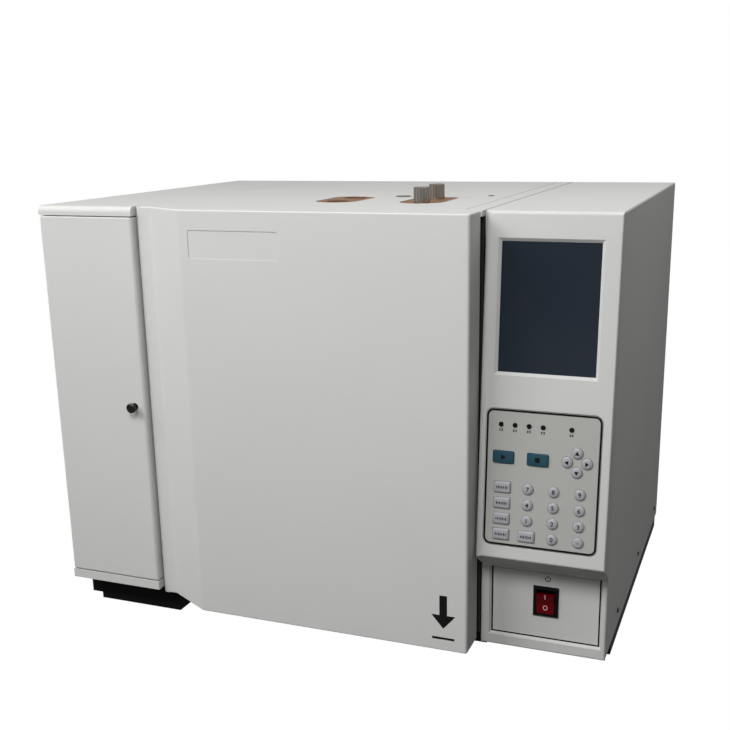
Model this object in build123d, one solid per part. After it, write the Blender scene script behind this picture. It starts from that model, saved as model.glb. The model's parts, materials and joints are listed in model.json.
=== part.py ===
from build123d import *
import os
from math import atan2, cos, degrees, pi, sin, sqrt

# Bench-top gas chromatograph, in millimetres. +Z is up, -Y is the operator's side and +X is to the
# operator's right. The origin is on the bench, under the middle of the whole instrument.
# Three bays stand side by side on one base: gas cabinet, column oven, control module.

# ---------------------------------------------------------------- overall layout
gas_width = 113.0
oven_width = 364.5
control_width = 125.0
body_depth = 443.0
body_height = 421.0          # from the base plate to the top covers
sheet = 1.2                  # folded steel sheet
side_gap = 0.5               # air between neighbouring bays
run_gap = 0.3                # clearance between parts that move past each other
pin_gap = 0.06               # radial clearance of a pin in its hole
past = 1.0                   # how far a cutting shape runs beyond what it cuts

# base
pad_height = 7.0
pad_length = 60.0
pad_inset = 13.0
rail_width = 118.0
rail_height = 26.5
rail_wall = 2.0
plate_gauge = 1.5
base_inset = 5.0             # left edge of the base behind the gas cabinet's side
base_setback = 25.0          # front edge of the base behind the gas cabinet's front
right_setback = 68.0         # front of the right rail behind the gas cabinet's front
plate_flange = 12.0          # down-turned front and back edges of the base plate

# oven door and its hinge
door_proud = 21.4            # oven door in front of the gas cabinet
door_thickness = 34.0
door_drop = 4.6              # lower edge of the door below the base plate's top
strip_setback = 6.4          # flat strip of the door behind the gas cabinet's front
strip_width = 12.0           # from the hinge axis to the chamfer
chamfer_width = 49.0
door_gap = 1.0               # oven door to gas cabinet
door_side_gap = 2.0          # oven door to control module
door_wall = 1.5
door_bend_radius = 4.0
door_corner_radius = 2.5
barrel_radius = 5.5
hinge_pin_radius = 2.0
hinge_tab_half = 3.4
hinge_tab_height = 8.0
hinge_foot_lap = 6.0         # bracket's foot above and below its tab
hinge_inset = 40.0           # hinge tabs from the door's two ends
gasket_thickness = 6.5
gasket_width = 9.0
liner_plate_gauge = 1.2
latch_from_right = 24.5
latch_width = 24.0
latch_depth = 12.0
latch_height = 22.0
latch_rim = 3.0
latch_travel = 4.0
latch_tongue = 14.0
latch_tongue_gauge = 3.0
keeper_gap = 1.5
badge_from_left = 77.5
badge_drop = 19.5
badge_width = 98.6
badge_height = 27.4
badge_recess = 0.5
badge_corner = 3.0

# oven chamber
chamber_width = 280.0
chamber_height = 296.0
chamber_depth = 262.0
chamber_rise = 38.0          # chamber floor above the base plate
liner_gauge = 1.0
oven_wall_back = 40.0        # insulation behind the chamber
cover_height = 5.2           # top cover over the oven case
plug_depth = 24.0
plug_gap = 3.0
plug_draft = 2.0

# top ports
port_width = 46.0
port_length = 92.0
port_from_front = 130.0
detector_port_from_left = 183.5
injector_port_from_left = 275.8
port_pitch = 50.0            # between the two bores of a port
port_plate_gauge = 2.0
port_plate_rim = 7.0
port_plate_drop = 0.6        # raised middle of the plate below the cover's top
port_plate_gap = 0.5         # round the raised middle, inside the port
lift_slot_length = 18.0
lift_slot_width = 2.6
lift_slot_setback = 38.7     # behind the middle of the ports
injector_radius = 9.0
injector_stub = 16.0         # injector below the chamber ceiling
injector_flange_radius = 13.0
injector_flange = 3.0
injector_neck_radius = 5.0
nut_radius = 8.2
nut_height = 15.0
nut_rise = 0.4               # nut above the port plate
nut_bore_depth = 8.0
needle_radius = 1.2

# fan, heater, baffle
shaft_radius = 5.0
shaft_hole_gap = 1.0
fan_radius = 68.0
fan_hub_radius = 14.0
fan_disc = 1.5
blade_count = 10
blade_gauge = 1.2
blade_depth = 16.0
blade_root_radius = 26.0
fan_back_gap = 8.0
heater_radius = 88.0
heater_width = 6.4
heater_bevel = 1.8
heater_gap_degrees = 24.0
baffle_gauge = 1.2
baffle_edge_gap = 14.0
baffle_gap = 9.0             # baffle to the fan's front edge
baffle_post_radius = 4.0
intake_radius = 58.0
intake_slot = 6.0
intake_pitch = 11.0
motor_radius = 44.0
motor_length = 46.0
motor_flange = 4.0

# column
coil_radius = 82.0
coil_thickness = 10.0
coil_length = 34.0
coil_from_back = 84.0        # coil centre in front of the baffle
coil_drop = 128.0            # coil centre below the chamber ceiling
cage_bar = 4.0

# gas cabinet
cabinet_edge_radius = 6.0
cabinet_rail_height = 9.6
cabinet_rail_depth = 15.5
gas_door_thickness = 14.0
gas_door_gap = 1.0
gas_door_edge_radius = 3.0
pivot_inset = 7.0
pivot_radius = 2.5
pivot_length = 6.0
pivot_block_radius = 5.0
knob_radius = 6.6
knob_reach = 9.5
knob_from_left = 100.5
knob_height = 211.0          # above the base plate
gas_panel_setback = 62.0
gas_row_pitch = 170.0
gauge_height = 362.0         # upper gauge above the base plate
gauge_drop = 74.0            # valve below its gauge
gauge_radius = 23.0
gauge_front = 14.0
gauge_back = 10.0
gauge_stem_radius = 6.0
valve_radius = 11.0
valve_length = 26.0
valve_knob_radius = 14.0
valve_knob_length = 16.0
valve_knob_flutes = 12
valve_stem_radius = 3.0

# control module
fascia_wall = 3.0
panel_setback = 21.3         # switch panel's surround behind the gas cabinet's front
bezel_foot_proud = 27.3      # bezel's lower edge in front of the switch panel
bezel_top_setback = 18.9     # bezel's top edge behind the gas cabinet's front
bezel_rise = 94.6            # bezel's lower front edge above the base plate
bezel_shelf_rise = 76.0      # underside of the bezel where it meets the switch panel
bezel_edge_radius = 9.0
bezel_top_radius = 3.5
bezel_foot_radius = 3.0
bezel_corner_radius = 1.5
screen_left = 16.9
screen_rise = 180.6
screen_width = 90.6
screen_height = 119.9
screen_bevel = 2.9
screen_recess = 2.2
glass_gauge = 2.0
keypad_left = 8.4
keypad_rise = 13.6
keypad_width = 108.0
keypad_height = 132.4
keypad_corner = 7.0
keypad_gauge = 1.4
keypad_rim = 3.0
keypad_line = 0.8            # dark line round the keypad
key_bed_gauge = 3.0
key_gap = 0.3
key_height = 1.7
key_edge = 1.2               # bevel round a grey key's top
run_key_edge = 0.6           # and round a start or stop key's
key_travel = 0.8
round_key_radius = 5.3
wide_key = (16.2, 11.2)
run_key = (20.2, 11.6)
key_columns = (17.2, 41.6, 66.0, 90.5)      # from the keypad's left edge
key_rows = (57.3, 41.9, 26.5, 11.1)         # from the keypad's lower edge
run_row = 86.7
run_columns = (17.3, 49.9)
arrow_centre = (86.4, 87.1)
arrow_reach = 9.15
led_row = 117.8
led_columns = (14.1, 27.3, 40.5, 53.7, 80.1)
led_radius = 2.3
led_height = 0.6

fascia_drop = 11.3           # switch panel's lower edge below the base plate's top
cover_drop = 9.8             # side cover's lower edge below the base plate's top
cover_edge_radius = 2.0
frame_left = 10.4            # stiles of the surround of the switch panel
frame_right = 6.4
frame_head = 3.6
frame_foot = 13.0
frame_bevel = 2.0
frame_edge_radius = 2.0
frame_recess = 3.0           # panel behind the front of its surround
panel_gauge = 2.4
panel_groove = 1.2
groove_depth = 1.2
switch_from_left = 65.2
switch_rise = 42.0           # switch centre above the base plate
switch_width = 25.2
switch_height = 31.6
switch_flange = 2.0
switch_flange_rim = 2.0
switch_body_depth = 24.0
rocker_pivot_depth = 8.0
rocker_gap = 0.4
rocker_tilt = 9.0
rocker_proud = 1.0
rocker_rise = 1.6            # outer end of each rocker face in front of its middle
rocker_heel = 3.5
rocker_pin_radius = 1.5
pivot_boss = 1.2
switch_body_wall = 1.2

# rear
rear_gauge = 1.2
duct_width = 60.0
duct_height = 34.0
duct_from_edge = 26.0
duct_wall = 1.2
flap_gauge = 1.5
flap_overlap = 6.0
flap_pin_radius = 2.0
flap_hinge_reach = 2.6
flap_depth = 4.0
fitting_reach = 20.0
fitting_radius = 6.5
fitting_bore_radius = 2.2
fitting_pitch = 32.0
fitting_count = 3
inlet_width = 27.0
inlet_height = 19.5
inlet_from_right = 52.0
inlet_rise = 40.0
inlet_flange_width = 50.0
inlet_flange_height = 23.0
inlet_depth = 20.0
slot_width = 4.0
slot_pitch = 10.0
slot_count = 7
slot_height = 90.0

# ---------------------------------------------------------------- derived places
overall_width = gas_width + oven_width + control_width
overall_depth = door_proud + body_depth + fitting_reach
left = -overall_width / 2
right = overall_width / 2
oven_left = left + gas_width
control_left = oven_left + oven_width
face = -overall_depth / 2 + door_proud          # front plane of the gas cabinet
back = face + body_depth
base_top = pad_height + rail_height + plate_gauge
body_top = base_top + body_height
rear_inner = back - rear_gauge
shell_top = body_top - sheet

hinge_x = oven_left + door_gap + barrel_radius
hinge_y = face + strip_setback + barrel_radius
door_front = face - door_proud
door_back = door_front + door_thickness
door_right = control_left - door_side_gap
door_bottom = base_top - door_drop
liner_left = hinge_x + barrel_radius + 2 * door_wall
case_front = door_back + run_gap + gasket_thickness
case_left = oven_left + side_gap
case_right = control_left - side_gap
case_top = body_top - cover_height

chamber_left = (case_left + case_right - chamber_width) / 2
chamber_right = chamber_left + chamber_width
chamber_floor = base_top + chamber_rise
chamber_top = chamber_floor + chamber_height
chamber_back = case_front + chamber_depth
chamber_x = (chamber_left + chamber_right) / 2
chamber_z = (chamber_floor + chamber_top) / 2
case_back = chamber_back + liner_gauge + oven_wall_back

port_y = face + port_from_front
detector_x = oven_left + detector_port_from_left
injector_x = oven_left + injector_port_from_left
port_bores = (port_y - port_pitch / 2, port_y + port_pitch / 2)
plate_top = body_top - port_plate_drop
nut_low = plate_top + nut_rise

fan_back = chamber_back - fan_back_gap
fan_front = fan_back - fan_disc - blade_depth
baffle_back = fan_front - baffle_gap
baffle_front = baffle_back - baffle_gauge
coil_y = baffle_front - coil_from_back
coil_z = chamber_top - coil_drop

pivot_x = left + pivot_inset
pivot_y = face + pivot_inset
gas_door_bottom = base_top + cabinet_rail_height + gas_door_gap
gas_door_top = body_top - cabinet_rail_height - gas_door_gap
gas_panel_y = face + gas_panel_setback
gas_x = left + gas_width / 2
gauge_z = [base_top + gauge_height - row * gas_row_pitch for row in range(2)]
valve_z = [z - gauge_drop for z in gauge_z]

bezel_foot_z = base_top + bezel_rise
shelf_z = base_top + bezel_shelf_rise
bezel_top_y = face + bezel_top_setback
panel_y = face + panel_setback                  # front of the switch panel's surround
bezel_foot_y = panel_y - bezel_foot_proud
fascia_back = panel_y + fascia_wall
bezel_lean = degrees(atan2(bezel_top_y - bezel_foot_y, body_top - bezel_foot_z))
key_floor = -keypad_gauge - key_bed_gauge + 1.0 # bottom of the key wells, behind the bezel's front
switch_x = control_left + switch_from_left
switch_z = base_top + switch_rise
switch_face = panel_y + frame_recess
rocker_y = switch_face + rocker_pivot_depth

duct_x = chamber_right - duct_from_edge - duct_width / 2
duct_z = chamber_top - duct_from_edge - duct_height / 2
flap_x = (duct_x - duct_width / 2 - flap_overlap, duct_x + duct_width / 2 + flap_overlap)
flap_pin_y = back + flap_hinge_reach
flap_pin_z = duct_z + duct_height / 2 + flap_overlap + flap_pin_radius + run_gap
inlet_x = right - inlet_from_right
inlet_z = base_top + inlet_rise


# ---------------------------------------------------------------- helpers
def block(x, y, z):
    """Box between two corners, each axis given as (low, high)."""
    size = [high - low for low, high in (x, y, z)]
    middle = [(low + high) / 2 for low, high in (x, y, z)]
    return Pos(*middle) * Box(*size)


def rod_x(radius, x, y, z):
    """Cylinder along X between the two x values."""
    return Pos((x[0] + x[1]) / 2, y, z) * Rot(0, 90, 0) * Cylinder(radius, x[1] - x[0])


def rod_y(radius, x, y, z):
    """Cylinder along Y between the two y values."""
    return Pos(x, (y[0] + y[1]) / 2, z) * Rot(90, 0, 0) * Cylinder(radius, y[1] - y[0])


def rod_z(radius, x, y, z):
    """Cylinder along Z between the two z values."""
    return Pos(x, y, (z[0] + z[1]) / 2) * Cylinder(radius, z[1] - z[0])


def prism_x(points, x):
    """Closed outline of (y, z) points, extruded between the two x values."""
    outline = Plane.YZ.offset(x[0]) * make_face(Polyline(*points, close=True))
    return extrude(outline, amount=x[1] - x[0], dir=(1, 0, 0))


def turned_y(profile, x, z):
    """Ring or knob about an axis along Y: profile is a list of (radius, y) points."""
    outline = Pos(x, 0, z) * make_face(Polyline(*[(r, y, 0) for r, y in profile], close=True))
    return revolve(outline, Axis((x, 0, z), (0, 1, 0)))


def turned_z(profile, x, y):
    """Body about an upright axis: profile is a list of (radius, z) points."""
    outline = Pos(x, y, 0) * make_face(Polyline(*[(r, 0, z) for r, z in profile], close=True))
    return revolve(outline, Axis((x, y, 0), (0, 0, 1)))


def edges_at(shape, axis, **place):
    """Edges along an axis whose middle lies at the given x, y or z places."""
    found = shape.edges().filter_by(axis)
    for name, value in place.items():
        found = [e for e in found if abs(getattr(e.center(), name.upper()) - value) < 0.01]
    return found


# ---------------------------------------------------------------- base
def base_frame():
    """Base plate with down-turned flanges, and a channel rail under each side bay."""
    x = (left + base_inset, right - sheet - run_gap)
    y = (face + base_setback, back - rear_gauge - run_gap)
    frame = block(x, y, (base_top - plate_gauge, base_top))
    for low, high, front in rail_spans():
        rail = block((low, high), (front, y[1]), (pad_height, base_top - plate_gauge))
        inside = block((low + rail_wall, high - rail_wall), (front + rail_wall, y[1] - rail_wall),
                       (pad_height - past, base_top - plate_gauge))
        frame += rail - inside
    gap = (rail_spans()[0][1], rail_spans()[1][0])
    for edge in ((y[0], y[0] + plate_gauge), (y[1] - plate_gauge, y[1])):
        frame += block(gap, edge, (base_top - plate_gauge - plate_flange, base_top - plate_gauge))
    return frame


def rail_spans():
    """The two rails, as (low x, high x, front y)."""
    first = left + base_inset
    last = right - sheet - run_gap
    return ((first, first + rail_width, face + base_setback),
            (last - rail_width, last, face + right_setback))


def rubber_feet():
    """Four pads: a block under the rail with a plug that sits inside it."""
    feet = []
    y_back = back - rear_gauge - run_gap - pad_length
    for index, (low, high, front) in enumerate(rail_spans()):
        inset = (pad_inset, 0) if index == 0 else (0, pad_inset)
        for y in (front, y_back):
            pad = block((low + inset[0], high - inset[1]), (y, y + pad_length), (0, pad_height))
            plug = block((low + rail_wall + pad_inset, high - rail_wall - pad_inset),
                         (y + pad_inset, y + pad_length - pad_inset),
                         (pad_height, pad_height + rail_height / 2))
            feet.append(pad + plug)
    return Compound(children=feet)


# ---------------------------------------------------------------- rear panel
def rear_panel():
    """Flat sheet across all three bays, with its holes and the lugs that carry the vent flap."""
    panel = block((left, right), (rear_inner, back), (base_top, body_top))
    through = (rear_inner - past, back + past)
    panel -= block((duct_x - duct_width / 2, duct_x + duct_width / 2), through,
                   (duct_z - duct_height / 2, duct_z + duct_height / 2))
    panel -= block((inlet_x - inlet_width / 2, inlet_x + inlet_width / 2), through,
                   (inlet_z - inlet_height / 2, inlet_z + inlet_height / 2))
    for x, z in fitting_places():
        panel -= rod_y(fitting_radius, x, through, z)
    for index in range(slot_count):
        x = right - control_width / 2 + (index - (slot_count - 1) / 2) * slot_pitch
        panel -= block((x - slot_width / 2, x + slot_width / 2), through,
                       (shelf_z + slot_height, shelf_z + 2 * slot_height))
    for end, inward in ((flap_x[0], 1), (flap_x[1], -1)):
        ear = (end - inward * (run_gap + 2 * sheet), end - inward * run_gap)
        lug = block(sorted(ear), (back, flap_pin_y + flap_pin_radius + sheet),
                    (flap_pin_z - flap_pin_radius - sheet, flap_pin_z + flap_pin_radius + sheet))
        panel += lug - rod_x(flap_pin_radius + pin_gap, sorted(ear), flap_pin_y, flap_pin_z)
    return panel


def fitting_places():
    """Gas inlets in a column on the gas cabinet's back."""
    first = base_top + body_height / 2 - (fitting_count - 1) / 2 * fitting_pitch
    return [(gas_x, first + index * fitting_pitch) for index in range(fitting_count)]


def gas_fittings():
    """Bulkhead unions: hexagon outside the panel, body through it, nut and ferrule stub."""
    unions = []
    for x, z in fitting_places():
        hexagon = RegularPolygon(fitting_radius * 1.5, 6)
        outer = Plane(origin=(x, back, z), z_dir=(0, 1, 0)) * extrude(hexagon, fitting_reach * 0.4)
        inner = Plane(origin=(x, rear_inner, z), z_dir=(0, -1, 0)) * extrude(hexagon, fitting_reach * 0.3)
        body = rod_y(fitting_radius - pin_gap, x, (rear_inner - fitting_reach, back + fitting_reach), z)
        ends = (rear_inner - fitting_reach - past, back + fitting_reach + past)
        unions.append(outer + inner + body - rod_y(fitting_bore_radius, x, ends, z))
    return Compound(children=unions)


def power_inlet():
    """Mains appliance inlet: flange outside the rear panel and a cup with three blades."""
    flange = block((inlet_x - inlet_flange_width / 2, inlet_x + inlet_flange_width / 2),
                   (back, back + 2 * sheet),
                   (inlet_z - inlet_flange_height / 2, inlet_z + inlet_flange_height / 2))
    flange = fillet(flange.edges().filter_by(Axis.Y), inlet_flange_height / 4)
    cup = block((inlet_x - inlet_width / 2 + run_gap, inlet_x + inlet_width / 2 - run_gap),
                (back - inlet_depth, back),
                (inlet_z - inlet_height / 2 + run_gap, inlet_z + inlet_height / 2 - run_gap))
    mouth = block((inlet_x - inlet_width / 2 + 2, inlet_x + inlet_width / 2 - 2),
                  (back - inlet_depth + 2, back + 2 * sheet + past),
                  (inlet_z - inlet_height / 2 + 2, inlet_z + inlet_height / 2 - 2))
    inlet = flange + cup - mouth
    for x, z in ((-6.5, -2), (0, 2), (6.5, -2)):
        inlet += block((inlet_x + x - 1, inlet_x + x + 1), (back - inlet_depth + 1, back - 3),
                       (inlet_z + z - 2, inlet_z + z + 2))
    return inlet


def vent_flap():
    """Oven exhaust flap: a shallow pan over the duct's mouth, hung from a pin along its top edge."""
    y = (back + run_gap, back + run_gap + flap_depth)
    low = duct_z - duct_height / 2 - flap_overlap
    pan = block(flap_x, y, (low, flap_pin_z))
    pan = fillet(edges_at(pan, Axis.X, y=y[1]), flap_gauge)
    pan -= block((flap_x[0] + flap_gauge, flap_x[1] - flap_gauge), (y[0] - past, y[1] - flap_gauge),
                 (low + flap_gauge, flap_pin_z - flap_pin_radius))
    reach = run_gap + 2 * sheet
    return pan + rod_x(flap_pin_radius, (flap_x[0] - reach, flap_x[1] + reach), flap_pin_y, flap_pin_z)


# ---------------------------------------------------------------- gas cabinet
def gas_cabinet():
    """Folded shell: left wall, right wall, top, floor, and a rail above and below the door."""
    y_end = rear_inner
    shell = block((left, oven_left), (face, y_end), (base_top, body_top))
    shell = fillet(edges_at(shell, Axis.X, y=face, z=body_top), cabinet_edge_radius)
    front = face + cabinet_rail_depth
    shell -= block((left + sheet, oven_left - sheet), (front, y_end + past), (base_top + sheet, shell_top))
    shell -= block((left - past, oven_left + past), (face - past, front),
                   (base_top + cabinet_rail_height, body_top - cabinet_rail_height))
    for z in ((base_top + cabinet_rail_height - pivot_length, base_top + cabinet_rail_height),
              (body_top - cabinet_rail_height, body_top - cabinet_rail_height + pivot_length)):
        shell -= rod_z(pivot_radius + pin_gap, pivot_x, pivot_y, z)
    return shell


def gas_door():
    """Shallow pan door, open at the back, with a pivot pin at its top and bottom left."""
    x = (left, oven_left)
    y = (face, face + gas_door_thickness)
    z = (gas_door_bottom, gas_door_top)
    door = block(x, y, z)
    door = fillet(edges_at(door, Axis.Z, y=face), gas_door_edge_radius)
    door = fillet(door.edges().filter_by(Axis.X).group_by(Axis.Y)[0], gas_door_edge_radius / 2)
    door -= block((x[0] + sheet, x[1] - sheet), (y[0] + sheet, y[1] + past), (z[0] + sheet, z[1] - sheet))
    for end, outward in ((z[0], -1), (z[1], 1)):
        stub = sorted((end, end + outward * (gas_door_gap + pivot_length - run_gap)))
        socket = sorted((end, end - outward * 2 * pivot_length))
        door += rod_z(pivot_radius, pivot_x, pivot_y, stub)
        door += rod_z(pivot_block_radius, pivot_x, pivot_y, socket)
    return door


def gas_door_knob():
    """Small turned pull knob."""
    tip = face - knob_reach
    profile = [(0, face), (knob_radius * 0.55, face), (knob_radius * 0.5, face - knob_reach * 0.4),
               (knob_radius, face - knob_reach * 0.55), (knob_radius, tip + 1.2),
               (knob_radius - 1.2, tip), (0, tip)]
    return turned_y(profile, left + knob_from_left, base_top + knob_height)


def gas_panel():
    """Plate behind the gas door, with the bodies of the two carrier-gas valves."""
    panel = block((left + sheet, oven_left - sheet), (gas_panel_y, gas_panel_y + sheet),
                  (base_top + sheet, shell_top))
    for z in gauge_z:
        panel -= rod_y(gauge_stem_radius, gas_x, (gas_panel_y - past, gas_panel_y + sheet + past), z)
    for z in valve_z:
        panel += rod_y(valve_radius, gas_x, (gas_panel_y + sheet, gas_panel_y + sheet + valve_length), z)
        panel -= rod_y(valve_stem_radius + pin_gap, gas_x,
                       (gas_panel_y - past, gas_panel_y + valve_length), z)
    return panel


def pressure_gauges():
    """Round gauges: bezel and dished dial in front of the panel, stem through it."""
    gauges = []
    for z in gauge_z:
        front = gas_panel_y - gauge_front
        profile = [(0, gas_panel_y), (gauge_radius - 2, gas_panel_y), (gauge_radius - 2, front + 6),
                   (gauge_radius, front + 5), (gauge_radius, front + 1), (gauge_radius - 1, front),
                   (gauge_radius - 3, front), (gauge_radius - 3, front + 3), (0, front + 3)]
        stem = rod_y(gauge_stem_radius - pin_gap, gas_x,
                     (gas_panel_y, gas_panel_y + sheet + gauge_back), z)
        gauges.append(turned_y(profile, gas_x, z) + stem)
    return Compound(children=gauges)


def carrier_valve(z):
    """Fluted valve knob with its stem."""
    y = (gas_panel_y - run_gap - valve_knob_length, gas_panel_y - run_gap)
    knob = rod_y(valve_knob_radius, gas_x, y, z)
    knob = chamfer(knob.edges().filter_by(GeomType.CIRCLE).sort_by(Axis.Y)[0], 1.5)
    for index in range(valve_knob_flutes):
        angle = 2 * pi * index / valve_knob_flutes
        knob -= rod_y(2.0, gas_x + (valve_knob_radius + 0.8) * cos(angle), (y[0] - past, y[1] - 4),
                      z + (valve_knob_radius + 0.8) * sin(angle))
    mark = block((gas_x - 0.6, gas_x + 0.6), (y[0] - 0.1, y[0] + 0.6), (z + 3, z + valve_knob_radius - 2))
    stem = rod_y(valve_stem_radius, gas_x, (y[1], gas_panel_y + valve_length - run_gap), z)
    return knob - mark + stem


# ---------------------------------------------------------------- oven
def ports(gap):
    """Clear space of the two top ports through the roof of the oven."""
    spaces = []
    for x in (detector_x, injector_x):
        spaces.append(((x - port_width / 2 - gap, x + port_width / 2 + gap),
                       (port_y - port_length / 2 - gap, port_y + port_length / 2 + gap)))
    return spaces


def duct_space(y, grow):
    """Exhaust duct from the chamber to the back, grown all round."""
    return block((duct_x - duct_width / 2 - grow, duct_x + duct_width / 2 + grow), y,
                 (duct_z - duct_height / 2 - grow, duct_z + duct_height / 2 + grow))


def keeper_space(grow):
    """Pocket in the oven front that takes the door latch's tongue."""
    x = latch_centre()
    z = latch_tongue_z()
    return block((x - latch_width / 2 - keeper_gap - grow, x + latch_width / 2 + keeper_gap + grow),
                 (case_front - past, case_front + latch_tongue + grow),
                 (z - latch_tongue_gauge / 2 - keeper_gap - grow,
                  z + latch_tongue_gauge / 2 + latch_travel + keeper_gap + grow))


def oven_case():
    """Sheet box round the insulation, with the duct to the rear panel."""
    x, y, z = (case_left, case_right), (case_front, case_back), (base_top, case_top)
    case = block(x, y, z)
    case -= block((x[0] + sheet, x[1] - sheet), (y[0] + sheet, y[1] - sheet), (z[0] + sheet, z[1] - sheet))
    case -= block((chamber_left - liner_gauge, chamber_right + liner_gauge),
                  (y[0] - past, y[0] + sheet + past),
                  (chamber_floor - liner_gauge, chamber_top + liner_gauge))
    for px, py in ports(0):
        case -= block(px, py, (z[1] - sheet - past, z[1] + past))
    case += duct_space((case_back, rear_inner), duct_wall)
    case -= duct_space((case_back - 2 * sheet, rear_inner + past), 0)
    case -= rod_y(shaft_radius + shaft_hole_gap, chamber_x, (y[1] - 2 * sheet, y[1] + past), chamber_z)
    case -= keeper_space(0)
    return case


def oven_insulation():
    """Mineral wool between the case and the chamber liner."""
    x = (case_left + sheet, case_right - sheet)
    y = (case_front + sheet, case_back - sheet)
    z = (base_top + sheet, case_top - sheet)
    wool = block(x, y, z)
    wool -= block((chamber_left - liner_gauge, chamber_right + liner_gauge),
                  (y[0] - past, chamber_back + liner_gauge),
                  (chamber_floor - liner_gauge, chamber_top + liner_gauge))
    for px, py in ports(0):
        wool -= block(px, py, (chamber_top, z[1] + past))
    wool -= duct_space((chamber_back, y[1] + past), 0)
    wool -= rod_y(shaft_radius + shaft_hole_gap, chamber_x, (chamber_back, y[1] + past), chamber_z)
    wool -= keeper_space(0)
    return wool


def oven_liner():
    """Stainless chamber, open to the front, with holes for injectors, duct and fan shaft."""
    gauge = liner_gauge
    liner = block((chamber_left - gauge, chamber_right + gauge), (case_front, chamber_back + gauge),
                  (chamber_floor - gauge, chamber_top + gauge))
    liner -= block((chamber_left, chamber_right), (case_front - past, chamber_back),
                   (chamber_floor, chamber_top))
    ceiling = (chamber_top - past, chamber_top + gauge + past)
    rear_wall = (chamber_back - past, chamber_back + gauge + past)
    for y in port_bores:
        liner -= rod_z(injector_radius + run_gap, injector_x, y, ceiling)
    liner -= duct_space(rear_wall, 0)
    liner -= rod_y(shaft_radius + shaft_hole_gap, chamber_x, rear_wall, chamber_z)
    return liner


def door_gasket():
    """Rounded-corner ring of glass-fibre rope round the chamber's mouth."""
    y = (case_front - gasket_thickness, case_front)
    grow = gasket_width + liner_gauge

    def ring(extra):
        outline = RectangleRounded(chamber_width + 2 * extra, chamber_height + 2 * extra, extra + 6)
        frame = Plane(origin=(chamber_x, y[1], chamber_z), x_dir=(1, 0, 0), z_dir=(0, -1, 0)) * outline
        return extrude(frame, amount=gasket_thickness, dir=(0, -1, 0))

    return ring(grow) - ring(liner_gauge + 1.0)


def oven_hinges():
    """Two brackets screwed to the case front, each a tab with a pin up and down into the door."""
    brackets = []
    for z in hinge_levels():
        low, high = z - hinge_tab_height / 2, z + hinge_tab_height / 2
        tab = block((hinge_x - hinge_tab_half, hinge_x + hinge_tab_half), (hinge_y, case_front), (low, high))
        tab += rod_z(hinge_tab_half, hinge_x, hinge_y, (low, high))
        foot = block((case_left, hinge_x + 3 * hinge_tab_half), (case_front - sheet, case_front),
                     (low - hinge_foot_lap, high + hinge_foot_lap))
        pin = rod_z(hinge_pin_radius, hinge_x, hinge_y,
                    (low - hinge_tab_height, high + hinge_tab_height))
        brackets.append(tab + foot + pin)
    return Compound(children=brackets)


def hinge_levels():
    """Heights of the two hinge tabs."""
    return door_bottom + hinge_inset, body_top - hinge_inset


def latch_centre():
    """Middle of the latch, across."""
    return door_right - latch_from_right


def latch_tongue_z():
    """Height of the latch's tongue at rest."""
    return door_bottom + latch_height - latch_tongue_gauge / 2


def door_plan(rear):
    """Plan of the door, from the hinge line round its chamfered left side to its right edge."""
    strip_y = face + strip_setback
    bend_x = hinge_x + strip_width
    return make_face(Polyline((hinge_x, strip_y), (bend_x, strip_y), (bend_x + chamfer_width, door_front),
                              (door_right, door_front), (door_right, rear), (hinge_x, rear), close=True))


def oven_door():
    """Pressed door shell with a chamfered left side and a rolled hinge edge, open at the back."""
    z = (door_bottom, body_top)
    skin = extrude(Pos(0, 0, z[0]) * door_plan(door_back), z[1] - z[0])
    bends = skin.edges().filter_by(Axis.Z).filter_by(lambda e: hinge_x < e.center().X < door_right)
    skin = fillet(bends, door_bend_radius)
    skin = fillet(edges_at(skin, Axis.Z, x=door_right, y=door_front), door_corner_radius)
    rims = [e for e in skin.edges().filter_by(Axis.Z, reverse=True)
            if e.center().Y < door_back - run_gap and e.center().X > hinge_x + run_gap]
    skin = fillet(rims, door_wall)
    skin += rod_z(barrel_radius, hinge_x, hinge_y, z)
    inside = offset(door_plan(door_back + 2 * door_wall), amount=-door_wall, kind=Kind.INTERSECTION)
    hollow = extrude(Pos(0, 0, z[0] + door_wall) * inside, z[1] - z[0] - 2 * door_wall)
    skin -= hollow & block((liner_left, door_right), (door_front, door_back + 2 * door_wall), z)
    for level in hinge_levels():
        low, high = level - hinge_tab_height / 2 - run_gap, level + hinge_tab_height / 2 + run_gap
        notch = rod_z(hinge_tab_half + run_gap, hinge_x, hinge_y, (low, high))
        notch += block((hinge_x - 2 * barrel_radius, hinge_x + hinge_tab_half + run_gap),
                       (hinge_y, door_back + 2 * barrel_radius), (low, high))
        notch += block((hinge_x - 2 * barrel_radius, hinge_x),
                       (hinge_y - hinge_tab_half - run_gap, hinge_y), (low, high))
        skin -= notch
        skin -= rod_z(hinge_pin_radius + pin_gap, hinge_x, hinge_y,
                      (low - hinge_tab_height, high + hinge_tab_height))
    skin -= block((latch_centre() - latch_width / 2 - run_gap, latch_centre() + latch_width / 2 + run_gap),
                  (latch_front() - run_gap, latch_front() + latch_depth + run_gap),
                  (z[0] - past, z[0] + door_wall + past))
    badge = block((oven_left + badge_from_left, oven_left + badge_from_left + badge_width),
                  (door_front - past, door_front + badge_recess),
                  (body_top - badge_drop - badge_height, body_top - badge_drop))
    return skin - fillet(badge.edges().filter_by(Axis.Y), badge_corner)


def latch_front():
    """Front face of the latch slider, inside the door."""
    return door_back - liner_plate_gauge - run_gap - latch_depth


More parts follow.
